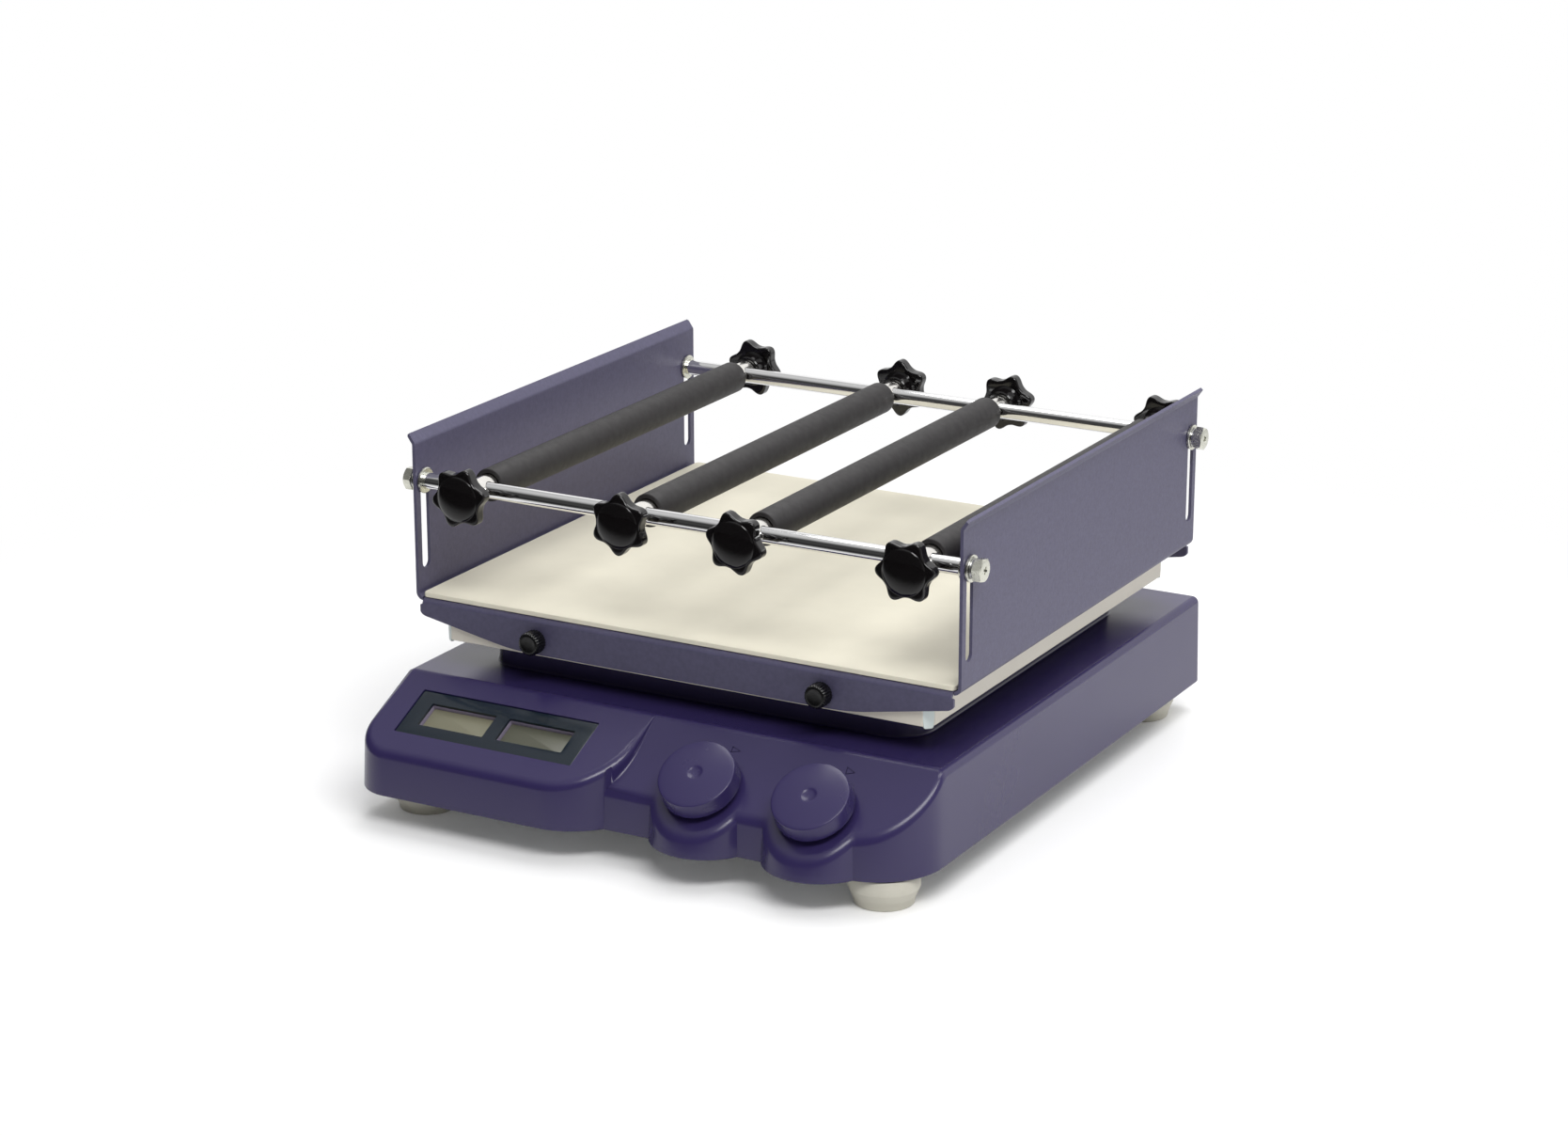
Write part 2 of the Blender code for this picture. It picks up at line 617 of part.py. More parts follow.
# Display and control board
pane = prism(rounded(WINDOW_WIDTH, WINDOW_HEIGHT, 0.001), -WINDOW_THICK - GAP, -GAP, DISPLAY)
solid("display_window", pane, GLASS, False)
MODULE_TOP = -WINDOW_THICK - 2 * GAP
MODULE_DEPTH = 0.006
module_size = (through[0] - 2 * GAP, through[1] - 2 * GAP, 0.001)
module = prism(rounded(*module_size), MODULE_TOP - MODULE_DEPTH, MODULE_TOP, DISPLAY)
display_module = solid("display_module", module, LCD, False)
for i, x in enumerate((-CELL_PITCH / 2, CELL_PITCH / 2)):
    cell = prism(rounded(CELL_WIDTH, CELL_HEIGHT, 0.0005, 2, x), MODULE_TOP - 0.0008, 0.001, DISPLAY)
    cut(display_module, solid("display_cell" + str(i), cell, None))
BOARD_TOP = MODULE_TOP - MODULE_DEPTH - GAP
UNDER = -DROP * math.cos(DISPLAY_TILT) - GAP
board_parts = [prism(rounded(BOARD_WIDTH, BOARD_HEIGHT, 0.002), BOARD_TOP - 0.0016, BOARD_TOP, DISPLAY)]
for x in (-BOARD_WIDTH / 2 + 0.005, BOARD_WIDTH / 2 - 0.005):
    for y in (-BOARD_HEIGHT / 2 + 0.005, BOARD_HEIGHT / 2 - 0.005):
        pillar = [circle(0.003, z, 8, x, y) for z in (BOARD_TOP - 0.001, UNDER)]
        board_parts.append(stack(pillar, DISPLAY))
chip = box((-0.012, -0.008, BOARD_TOP - 0.005), (0.012, 0.012, BOARD_TOP - 0.001), DISPLAY)
board_parts.append(chip)
fused("control_board", board_parts, BOARD, False)

# Encoders, plungers and knobs
NUT_TOP = GAP + 0.0020
KNOB_FOOT = NUT_TOP + KNOB_TRAVEL + 0.0002
KNOB_TOP = KNOB_FOOT + KNOB_HEIGHT
for side, frame in zip(("speed", "time"), KNOBS):
    body_top = -WALL - GAP
    half = ENCODER_SIZE / 2
    parts = [box((-half, -half, body_top - ENCODER_DEPTH), (half, half, body_top), frame)]
    parts.append(turned([(BUSHING_RADIUS, body_top - 0.001), (BUSHING_RADIUS, NUT_TOP)], 16, frame))
    parts.append(turned([(0.0068, GAP), (0.0068, NUT_TOP)], 6, frame))
    encoder = fused(side + "_encoder", parts, STEEL, False)
    bore_foot = body_top - ENCODER_DEPTH + 0.0015
    bore = turned([(SPINDLE_RADIUS + RUN, bore_foot), (SPINDLE_RADIUS + RUN, 0.004)], 12, frame)
    cut(encoder, solid(side + "_encoder_bore", bore, None))
    foot_z = bore_foot + GAP + KNOB_TRAVEL
    spindle = turned([(SPINDLE_RADIUS, foot_z), (SPINDLE_RADIUS, KNOB_TOP - 0.0040)], 12, frame)
    pivot = empty(side + "_axis", frame.translation)
    hang(solid(side + "_plunger", spindle, STEEL), pivot)
    profile = [(KNOB_FOOT_RADIUS - 0.0006, KNOB_FOOT), (KNOB_FOOT_RADIUS, KNOB_FOOT + 0.0008)]
    profile += [(KNOB_RADIUS + 0.0004, KNOB_TOP - 0.0016), (KNOB_RADIUS - 0.0010, KNOB_TOP - 0.0003)]
    profile += [(KNOB_RADIUS * 0.6, KNOB_TOP + 0.0009), (0.0042, KNOB_TOP + 0.0013)]
    profile.append((0.0016, KNOB_TOP + 0.0005))
    knob = solid(side + "_knob", turned(profile, 30, frame), KNOB_BLUE)
    hollow = tube(KNOB_RADIUS - 0.003, 0.0060, KNOB_FOOT - 0.002, KNOB_TOP - 0.003, 16, frame)
    cut(knob, solid(side + "_knob_hollow", hollow, None))
    seat = KNOB_TOP - 0.0040 + GAP
    socket = turned([(SPINDLE_RADIUS + RUN, KNOB_FOOT - 0.002), (SPINDLE_RADIUS + RUN, seat)], 12, frame)
    cut(knob, solid(side + "_knob_socket", socket, None))
    hang(knob, pivot)

# Drive frame, bearing, motor
FRAME_TOP = FRAME_Z + FRAME_THICK
frame_low = (-FRAME_HALF_X, DRIVE_Y - FRAME_HALF_Y, FRAME_Z)
frame_parts = [box(frame_low, (FRAME_HALF_X, DRIVE_Y + FRAME_HALF_Y, FRAME_TOP))]
size = LEG_SIZE / 2
for x in (-LEG_X, LEG_X):
    for y in (DRIVE_Y - LEG_Y, DRIVE_Y + LEG_Y):
        leg_low = (x - size, y - size, PLATE_TOP + GAP)
        frame_parts.append(box(leg_low, (x + size, y + size, FRAME_Z + 0.001)))
TUBE_TOP = PLINTH_TOP - DROP - 0.003
for x, y, radius in SHAFTS[1:]:
    reach = (FRAME_Z + 0.001, TUBE_TOP)
    frame_parts.append(stack([circle(radius + IDLER_WALL, z, 10, x, y) for z in reach]))
drive_frame = fused("drive_frame", frame_parts, CAST, False)
for i, (x, y, radius) in enumerate(SHAFTS[1:]):
    bore = stack([circle(radius + RUN, z, 10, x, y) for z in (FRAME_Z - 0.003, TUBE_TOP + 0.003)])
    cut(drive_frame, solid("frame_bore" + str(i), bore, None))
BEARING_RADIUS = SHAFT_RADIUS + BEARING_WALL
holes = [(0.0, DRIVE_Y, BEARING_RADIUS + GAP), (MOTOR_X, DRIVE_Y, MOTOR_SHAFT + 0.004)]
for i, (x, y, radius) in enumerate(holes):
    bore = stack([circle(radius, z, 20, x, y) for z in (FRAME_Z - 0.003, FRAME_TOP + 0.003)])
    cut(drive_frame, solid("frame_hole" + str(i), bore, None))

CENTRE = Matrix.Translation((0.0, DRIVE_Y, 0.0))
FLANGE_Z = FRAME_TOP + GAP
FLANGE_RADIUS = BEARING_RADIUS + BEARING_FLANGE
shell = [(BEARING_RADIUS, FRAME_Z - BEARING_DEPTH), (BEARING_RADIUS, FLANGE_Z)]
shell += [(FLANGE_RADIUS, FLANGE_Z), (FLANGE_RADIUS, FLANGE_Z + BEARING_TOP)]
main_bearing = solid("main_bearing", turned(shell, 20, CENTRE), STEEL)
shaft_bore = SHAFT_RADIUS + RUN
reach = (FRAME_Z - BEARING_DEPTH - 0.002, FLANGE_Z + BEARING_TOP + 0.002)
bore = turned([(shaft_bore, z) for z in reach], 16, CENTRE)
cut(main_bearing, solid("main_bearing_bore", bore, None))

MOTOR = Matrix.Translation((MOTOR_X, DRIVE_Y, 0.0))
MOTOR_TOP = FRAME_Z - GAP
MOTOR_BASE = PLATE_TOP + 0.0006
can = [(MOTOR_RADIUS - 0.002, MOTOR_BASE), (MOTOR_RADIUS, MOTOR_BASE + 0.002)]
can.append((MOTOR_RADIUS, MOTOR_TOP - 0.006))
can += [(MOTOR_RADIUS - 0.003, MOTOR_TOP - 0.005), (MOTOR_RADIUS - 0.003, MOTOR_TOP)]
drive_motor = solid("drive_motor", turned(can, 20, MOTOR), BLACK)
motor_bore = MOTOR_SHAFT + RUN
reach = (MOTOR_TOP - MOTOR_SHAFT_DEPTH - 0.002, MOTOR_TOP + 0.004)
bore = turned([(motor_bore, z) for z in reach], 10, MOTOR)
cut(drive_motor, solid("drive_motor_bore", bore, None))


def pulley_profile(radius):
    rim = radius + BELT_THICK + 0.001
    low = PULLEY_Z + PULLEY_FLANGE
    high = PULLEY_TOP - PULLEY_FLANGE
    return [(rim, PULLEY_Z), (rim, low), (radius, low + 0.0004),
            (radius, high - 0.0004), (rim, high), (rim, PULLEY_TOP)]


motor_axis = empty("motor_axis", (MOTOR_X, DRIVE_Y, PULLEY_Z))
parts = [turned(pulley_profile(MOTOR_PULLEY_RADIUS), 18, MOTOR)]
reach = (MOTOR_TOP - MOTOR_SHAFT_DEPTH, PULLEY_Z + 0.002)
parts.append(turned([(MOTOR_SHAFT, z) for z in reach], 10, MOTOR))
hang(fused("motor_pulley", parts, STEEL), motor_axis)

crank_axis = empty("crank_axis", (0.0, DRIVE_Y, PULLEY_Z))
driven = solid("driven_pulley", turned(pulley_profile(DRIVEN_RADIUS), 28, CENTRE), CAST)
WEIGHT_TOP = PULLEY_TOP + WEIGHT_HEIGHT
weight_out = DRIVEN_RADIUS - 0.0013
half_ring = arc(0.0, 0.0, weight_out, 203, 337, 10)
half_ring += arc(0.0, 0.0, weight_out - WEIGHT_WIDTH, 337, 203, 10)
weight = prism(half_ring, PULLEY_TOP - 0.001, WEIGHT_TOP, CENTRE)
join(driven, solid("driven_weight", weight, None))
bore = turned([(shaft_bore, PULLEY_Z - 0.003), (shaft_bore, WEIGHT_TOP + 0.003)], 16, CENTRE)
cut(driven, solid("driven_bore", bore, None))
for i, angle in enumerate((32, 92, 152)):
    x = DRIVEN_RADIUS * 0.55 * math.cos(math.radians(angle))
    y = DRIVEN_RADIUS * 0.55 * math.sin(math.radians(angle))
    reach = (PULLEY_Z - 0.003, PULLEY_TOP + 0.003)
    hole = stack([circle(DRIVEN_RADIUS * 0.17, z, 12, x, y) for z in reach], CENTRE)
    cut(driven, solid("driven_light_hole" + str(i), hole, None))
hang(driven, crank_axis)


def crank(name, x, y, shaft, foot, disc, pin):
    """A shaft with a disc on top and a pin set off by the orbit's radius."""
    centre = Matrix.Translation((x, y, 0.0))
    parts = [turned([(shaft, foot), (shaft, DISC_Z + 0.001)], 10, centre)]
    parts.append(turned([(disc, DISC_Z), (disc, PIN_Z - 0.0005), (disc - 0.0005, PIN_Z)], 14, centre))
    offset = Matrix.Translation((x, y + ORBIT, 0.0))
    stub = [(pin, PIN_Z - 0.002), (pin, PIN_TOP - 0.0005), (pin - 0.0005, PIN_TOP)]
    parts.append(turned(stub, 10, offset))
    return fused(name, parts, STEEL)


main_sizes = (SHAFT_RADIUS, FRAME_Z - SHAFT_DEPTH, DISC_RADIUS, PIN_RADIUS)
hang(crank("crank_shaft", 0.0, DRIVE_Y, *main_sizes), crank_axis)
IDLERS = ("front_left", "rear_left", "front_right", "rear_right")
for label, (x, y, radius) in zip(IDLERS, SHAFTS[1:]):
    pivot = empty("idler_axis_" + label, (x, y, PULLEY_Z))
    idler_sizes = (radius, FRAME_Z - 0.006, IDLER_DISC, IDLER_PIN)
    hang(crank("idler_crank_" + label, x, y, *idler_sizes), pivot)

# The belt runs round both pulleys as one closed band
span = abs(MOTOR_X)
lean = math.degrees(math.acos((DRIVEN_RADIUS - MOTOR_PULLEY_RADIUS) / span))


def band(extra):
    big = arc(0.0, DRIVE_Y, DRIVEN_RADIUS + extra, -(180 - lean), 180 - lean, 20)
    small = arc(MOTOR_X, DRIVE_Y, MOTOR_PULLEY_RADIUS + extra, 180 - lean, 180 + lean, 6)
    return big + small


belt_low = PULLEY_Z + PULLEY_FLANGE + 0.0004 + GAP
belt_high = PULLEY_TOP - PULLEY_FLANGE - 0.0004 - GAP
belt_out = GAP + BELT_THICK
bm = bmesh.new()
belt_rings = []
for extra, z in ((GAP, belt_low), (belt_out, belt_low), (belt_out, belt_high), (GAP, belt_high)):
    belt_rings.append([bm.verts.new((x, y, z)) for x, y in band(extra)])
for i in range(4):
    bridge(bm, belt_rings[i], belt_rings[(i + 1) % 4])
solid("drive_belt", bm, RUBBER)

# Power supply, inlet and switch
tray_z = PLATE_TOP + GAP
supply_high = (SUPPLY_X + SUPPLY_WIDTH, SUPPLY_Y + SUPPLY_DEPTH, tray_z + 0.004)
parts = [box((SUPPLY_X, SUPPLY_Y, tray_z), supply_high)]
coil_high = (SUPPLY_X + 0.040, SUPPLY_Y + SUPPLY_DEPTH - 0.006, tray_z + SUPPLY_HEIGHT)
parts.append(box((SUPPLY_X + 0.005, SUPPLY_Y + 0.006, tray_z + 0.002), coil_high))
for i in range(5):
    left = SUPPLY_X + 0.052 + 0.009 * i
    fin_high = (left + 0.003, SUPPLY_Y + SUPPLY_DEPTH - 0.008, tray_z + SUPPLY_HEIGHT - 0.003)
    parts.append(box((left, SUPPLY_Y + 0.008, tray_z + 0.002), fin_high))
fused("power_supply", parts, BOARD, False)

REAR_FACE = FLANGE_THICK + GAP
parts = [prism(rounded(INLET_WIDTH, INLET_HEIGHT, 0.003, 4, INLET_X), GAP, REAR_FACE, ENTRY)]
parts.append(prism(rounded(*INLET_BODY, 4, INLET_X), -INLET_DEPTH, GAP + 0.0005, ENTRY))
power_inlet = fused("power_inlet", parts, BLACK, False)
SOCKET = (SOCKET_WIDTH, SOCKET_HEIGHT, 0.0020)
socket = prism(rounded(*SOCKET, 4, INLET_X), -SOCKET_DEPTH, 0.004, ENTRY)
cut(power_inlet, solid("inlet_socket", socket, None))
for i, (x, y) in enumerate(((-BLADE_PITCH, -0.002), (0.0, 0.002), (BLADE_PITCH, -0.002))):
    blade_low = (INLET_X + x - 0.001, y - 0.002, -SOCKET_DEPTH - 0.001)
    blade = box(blade_low, (INLET_X + x + 0.001, y + 0.002, BLADE_LENGTH - SOCKET_DEPTH), ENTRY)
    join(power_inlet, solid("inlet_blade" + str(i), blade, None))

parts = [prism(rounded(SWITCH_WIDTH, SWITCH_HEIGHT, 0.002, 4, SWITCH_X), GAP, REAR_FACE, ENTRY)]
parts.append(prism(rounded(*SWITCH_BODY, 4, SWITCH_X), -SWITCH_DEPTH, GAP + 0.0005, ENTRY))
switch_bezel = fused("switch_bezel", parts, BLACK, False)
WELL = (ROCKER_WIDTH + 0.0010, ROCKER_HEIGHT + 0.0008, 0.0006)
well = prism(rounded(*WELL, 2, SWITCH_X), 0.004 - SWITCH_DEPTH, 0.004, ENTRY)
cut(switch_bezel, solid("switch_well", well, None))
ROCKER_PIVOT = -0.0045
rocker_axis = empty("rocker_axis", ENTRY @ Vector((SWITCH_X, 0.0, ROCKER_PIVOT)))
wing = ROCKER_WIDTH / 2
rocker_side = [(-wing, 0.0040), (-wing + 0.0007, 0.0047), (0.0, 0.0036)]
rocker_side += [(wing - 0.0007, 0.0047), (wing, 0.0040)]
rocker_side += [(wing * 0.62, -0.0035), (-wing * 0.62, -0.0035)]
turn = Matrix.Translation((SWITCH_X, 0.0, ROCKER_PIVOT)) @ Matrix.Rotation(math.radians(90.0), 4, "X")
turn = turn @ Matrix.Rotation(-ROCKER_THROW, 4, "Z")
rocker = prism(rocker_side, -ROCKER_HEIGHT / 2, ROCKER_HEIGHT / 2, ENTRY @ turn)
hang(solid("power_rocker", rocker, BLACK, False), rocker_axis)

# Platform
platform_axis = empty("platform_axis", (0.0, DRIVE_Y + ORBIT, PIN_Z))


def octagon(size, chamfer):
    h = size / 2
    c = h - chamfer
    corners = ((h, -c), (h, c), (c, h), (-c, h), (-h, c), (-h, -c), (-c, -h), (c, -h))
    return [(x, y + TRAY_Y) for x, y in corners]


PAN_BOTTOM = PLATFORM_TOP - PLATFORM_DEPTH
inner_chamfer = PLATFORM_CHAMFER - SHEET * (2 - math.sqrt(2))
pan = prism(octagon(PLATFORM_SIZE, PLATFORM_CHAMFER), PAN_BOTTOM, PLATFORM_TOP)
platform = solid("platform", pan, CREAM, False)
inner_plan = octagon(PLATFORM_SIZE - 2 * SHEET, inner_chamfer)
hollow = prism(inner_plan, PAN_BOTTOM - 0.004, PLATFORM_TOP - SHEET)
cut(platform, solid("platform_hollow", hollow, None))
HUB_Z = PIN_Z + GAP
hubs = [(0.0, TRAY_Y, PIN_RADIUS + 0.011, PIN_RADIUS + 0.006 + GAP)]
for x, y, radius in SHAFTS[1:]:
    hubs.append((x, y + ORBIT, IDLER_PIN + 0.006, IDLER_PIN + RUN))
for i, (x, y, outer, bore) in enumerate(hubs):
    reach = (HUB_Z, PLATFORM_TOP - SHEET * 0.5)
    boss = stack([circle(outer, z, 12 if i else 20, x, y) for z in reach])
    join(platform, solid("platform_hub" + str(i), boss, None))
for i, (x, y, outer, bore) in enumerate(hubs):
    reach = (HUB_Z - 0.002, PIN_TOP + 0.0008)
    hole = stack([circle(bore, z, 10 if i else 20, x, y) for z in reach])
    cut(platform, solid("platform_bore" + str(i), hole, None))
tab = math.sqrt(2) * PLATFORM_CHAMFER
reach = PLATFORM_SIZE / 2 - PLATFORM_CHAMFER / 2
for i, (sx, sy) in enumerate(((-1, -1), (1, -1), (1, 1), (-1, 1))):
    turn = Matrix.Translation((sx * reach, TRAY_Y + sy * reach, 0.0))
    turn = turn @ Matrix.Rotation(math.atan2(sy, sx), 4, "Z")
    ear_low = (-SHEET * 0.9, -tab * 0.42, PAN_BOTTOM - TAB_EXTRA)
    ear = box(ear_low, (0.0003, tab * 0.42, PLATFORM_TOP - 0.004), turn)
    join(platform, solid("platform_tab" + str(i), ear, None))
for i, x in enumerate((-THUMB_X, THUMB_X)):
    place = Matrix.Translation((x, TRAY_Y, THUMB_Z)) @ Y_AXIS
    far = TRAY_LENGTH / 2 + 0.02
    hole = turned([(THUMB_SHANK + GAP, -far), (THUMB_SHANK + GAP, far)], 10, place)
    cut(platform, solid("platform_thumb_hole" + str(i), hole, None))
hang(platform, platform_axis)

MIDDLE = Matrix.Translation((0.0, TRAY_Y, 0.0))
bush = tube(PIN_RADIUS + 0.006, PIN_RADIUS + RUN, HUB_Z, PIN_TOP + 0.0005, 20, MIDDLE)
hang(solid("pin_bearing", bush, STEEL), platform_axis)

# Tray
WALL_X = TRAY_WIDTH / 2
HALF_LENGTH = TRAY_LENGTH / 2
bend_out = TRAY_BEND + SHEET
side = [(0.0, FLOOR_Z)]
side += arc(WALL_X - bend_out, FLOOR_Z + bend_out, bend_out, -90, 0, 4)
slant = SHEET * math.tan(LIP_ANGLE / 2)
lip_x = WALL_X + LIP * math.tan(LIP_ANGLE)
side += [(WALL_X, TRAY_WALL_TOP), (lip_x, TRAY_WALL_TOP + LIP)]
side += [(lip_x - SHEET * math.cos(LIP_ANGLE), TRAY_WALL_TOP + LIP + SHEET * math.sin(LIP_ANGLE))]
side += [(WALL_X - SHEET, TRAY_WALL_TOP + slant)]
side += arc(WALL_X - bend_out, FLOOR_Z + bend_out, TRAY_BEND, 0, -90, 4)
side += [(0.0, FLOOR_TOP)]
mirrored = [(-x, z) for x, z in side[::-1][1:-1]]
section = side + mirrored
upright = MIDDLE @ Matrix.Rotation(math.radians(90.0), 4, "X")
tray = solid("tray", prism(section, -HALF_LENGTH, HALF_LENGTH, upright), TRAY_BLUE)
APRON_IN = PLATFORM_SIZE / 2 + GAP
APRON_OUT = APRON_IN + SHEET
apron_half = WALL_X - APRON_INSET
stub = HALF_LENGTH - 0.004
apron_top = FLOOR_TOP - 0.0001
APRON_LOW = FLOOR_TOP - APRON_DEPTH - SHEET
apron_side = [(stub, FLOOR_Z + 0.0003), (APRON_IN, FLOOR_Z + 0.0003)]
apron_side += [(APRON_IN, APRON_LOW), (APRON_OUT, APRON_LOW)]
apron_side += arc(APRON_OUT - SHEET, apron_top - SHEET, SHEET, 0, 90, 3) + [(stub, apron_top)]
apron_turn = Matrix.Rotation(math.radians(90.0), 4, "Z") @ Matrix.Rotation(math.radians(90.0), 4, "X")
end_low = FLOOR_TOP - APRON_END_DEPTH - SHEET
for i, facing in enumerate((-1, 1)):
    place = MIDDLE @ Matrix.Rotation(math.radians(90.0 - 90.0 * facing), 4, "Z") @ apron_turn
    apron = solid("tray_apron" + str(i), prism(apron_side, -apron_half, apron_half, place), None)
    join(tray, apron)
for i, sx in enumerate((-1, 1)):
    low = APRON_LOW - 0.002
    start = apron_half - APRON_TAPER
    wedge = [(start, low), (start, APRON_LOW), (apron_half - 0.003, end_low)]
    wedge += [(apron_half, end_low + 0.003), (apron_half + 0.001, end_low + 0.004)]
    wedge.append((apron_half + 0.001, low))
    wedge = [(sx * x, z) for x, z in wedge][:: -sx]
    for j, facing in enumerate((-1, 1)):
        near = sorted((-facing * (APRON_IN - 0.002), -facing * (APRON_OUT + 0.002)))
        taper = prism(wedge, near[0], near[1], upright)
        cut(tray, solid("tray_taper" + str(2 * i + j), taper, None))
for i, y in enumerate((-ROD_OFFSET, ROD_OFFSET)):
    r = SLOT_WIDTH / 2
    top = ROD_Z + GAP
    slot = arc(y, top, r, 0, 180, 6) + arc(y, ROD_Z - ROD_TRAVEL - GAP, r, 180, 360, 6)
    pair = prism(slot, -WALL_X - 0.01, WALL_X + 0.01, MIDDLE @ apron_turn)
    cut(tray, solid("tray_slot" + str(i), pair, None))
for i, x in enumerate((-THUMB_X, THUMB_X)):
    place = Matrix.Translation((x, TRAY_Y, THUMB_Z)) @ Y_AXIS
    hole = turned([(THUMB_SHANK + GAP, -far), (THUMB_SHANK + GAP, far)], 10, place)
    cut(tray, solid("tray_thumb_hole" + str(i), hole, None))
hang(tray, platform_axis)

mat_size = (2 * (WALL_X - bend_out) + 0.001, TRAY_LENGTH - 0.001, 0.002)
mat_low = FLOOR_TOP + GAP
mat_plan = rounded(*mat_size, 3, 0.0, TRAY_Y)
mat = solid("mat", prism(mat_plan, mat_low, mat_low + MAT_THICK), MAT_WHITE, False)
hang(mat, platform_axis)

# Thumb screws: a knurled head outside the apron, a shank through apron and flange
thumb_mesh = None
for label, sx, facing in CORNERS:
    if thumb_mesh is None:
        inside = -(SHEET + GAP + SHEET + 0.004)
        profile = [(THUMB_SHANK, inside), (THUMB_SHANK, GAP), (THUMB_RADIUS - 0.0010, GAP)]
        profile += [(THUMB_RADIUS, 0.0012), (THUMB_RADIUS, THUMB_LENGTH - 0.001)]
        profile.append((THUMB_RADIUS - 0.0012, THUMB_LENGTH))
        screw = solid("thumb_screw_" + label, turned(profile, 12), BLACK)
        thumb_mesh = screw.data
    else:
        screw = bpy.data.objects.new("thumb_screw_" + label, thumb_mesh)
        bpy.context.collection.objects.link(screw)
    screw.location = (sx * THUMB_X, TRAY_Y + facing * APRON_OUT, THUMB_Z)
    screw.rotation_euler = (math.radians(-90.0 * facing), 0.0, 0.0)

# Rods and their screws
ROD_END = WALL_X - SHEET - GAP
collar_in = ROD_END - COLLAR_THICK
neck = SLOT_WIDTH / 2 - RUN
rod_profile = [(ROD_RADIUS, collar_in), (COLLAR_RADIUS, collar_in), (COLLAR_RADIUS, ROD_END)]
rod_profile += [(neck, ROD_END), (neck, WALL_X)]
full_profile = [(r, -z) for r, z in rod_profile[::-1]] + rod_profile
rods = {}
for label, sy in (("front", -1), ("rear", 1)):
    y = TRAY_Y + sy * ROD_OFFSET
    rods[label] = empty("rod_slide_" + label, (0.0, y, ROD_Z))
    place = Matrix.Translation((0.0, y, ROD_Z)) @ X_AXIS
    rod = solid("rod_" + label, turned(full_profile, 14, place), CHROME)
    for i, end in enumerate((-1, 1)):
        span = sorted((end * (WALL_X - SCREW_LENGTH - 0.001), end * (WALL_X + 0.002)))
        tapped = turned([(SCREW_RADIUS + RUN, z) for z in span], 8, place)
        cut(rod, solid("rod_tap_" + label + str(i), tapped, None))
    hang(rod, rods[label])
washer = [(SCREW_RADIUS, -SCREW_LENGTH), (SCREW_RADIUS, GAP), (COLLAR_RADIUS, GAP)]
WASHER_TOP = GAP + WASHER_THICK
HEAD_FOOT = WASHER_TOP + 0.0020
washer += [(COLLAR_RADIUS, WASHER_TOP), (HEAD_FLATS * 0.508, WASHER_TOP)]
washer += [(HEAD_FLATS * 0.508, HEAD_FOOT), (HEAD_FLATS * 0.423, HEAD_FOOT)]
washer.append((HEAD_FLATS * 0.423, HEAD_FOOT + 0.0004))
across = HEAD_FLATS / math.sqrt(3)
hexagon = [(across, HEAD_FOOT), (across, HEAD_FOOT + 0.0048)]
hexagon.append((HEAD_FLATS * 0.5, HEAD_FOOT + 0.0056))
screw_mesh = None
for label, sx, sy in CORNERS:
    if screw_mesh is None:
        screw = settle(fused("rod_screw_" + label, [turned(washer, 12), turned(hexagon, 6)], ZINC))
        screw_mesh = screw.data
    else:
        screw = bpy.data.objects.new("rod_screw_" + label, screw_mesh)
        bpy.context.collection.objects.link(screw)
    screw.location = (sx * WALL_X, TRAY_Y + sy * ROD_OFFSET, ROD_Z)
    screw.rotation_euler = (0.0, math.radians(90.0 * sx), 0.0)

# Clamp bars and star knobs
CORE_HALF = ROD_OFFSET + CORE_PAST_ROD
core_profile = [(CORE_RADIUS - 0.0006, -CORE_HALF), (CORE_RADIUS, -CORE_HALF + 0.0006)]
core_profile += [(CORE_RADIUS, CORE_HALF - 0.0006), (CORE_RADIUS - 0.0006, CORE_HALF)]
core = solid("bar_core_1", turned(core_profile, 12, Y_AXIS), CHROME)
for i, sy in enumerate((-1, 1)):
    place = Matrix.Translation((0.0, sy * ROD_OFFSET, 0.0)) @ X_AXIS
    cross = turned([(ROD_RADIUS + RUN, -0.02), (ROD_RADIUS + RUN, 0.02)], 12, place)
    cut(core, solid("core_cross" + str(i), cross, None))
    ends = sorted((sy * ROD_OFFSET, sy * (CORE_HALF + 0.003)))
    axial = turned([(STUD_RADIUS + RUN, ends[0]), (STUD_RADIUS + RUN, ends[1])], 8, Y_AXIS)
    cut(core, solid("core_axial" + str(i), axial, None))
settle(core)
SLEEVE_HALF = ROD_OFFSET - SLEEVE_BEHIND_ROD
hose = tube(SLEEVE_RADIUS, CORE_RADIUS + GAP, -SLEEVE_HALF, SLEEVE_HALF, 16, Y_AXIS)
sleeve = solid("bar_sleeve_1", hose, FOAM)


STAR_POINTS = 24


def star_ring(z, scale, depth, count=STAR_POINTS):
    """A six-lobed ring: depth 1 gives the full valleys, depth 0 a circle."""
    mean = (STAR_RADIUS + STAR_VALLEY) / 2
    swing = (STAR_RADIUS - STAR_VALLEY) / 2 * depth
    ring = []
    for i in range(count):
        a = 2 * math.pi * i / count
        r = (mean + swing * math.cos(6 * a)) * scale
        ring.append((r * math.cos(a), r * math.sin(a), z))
    return ring


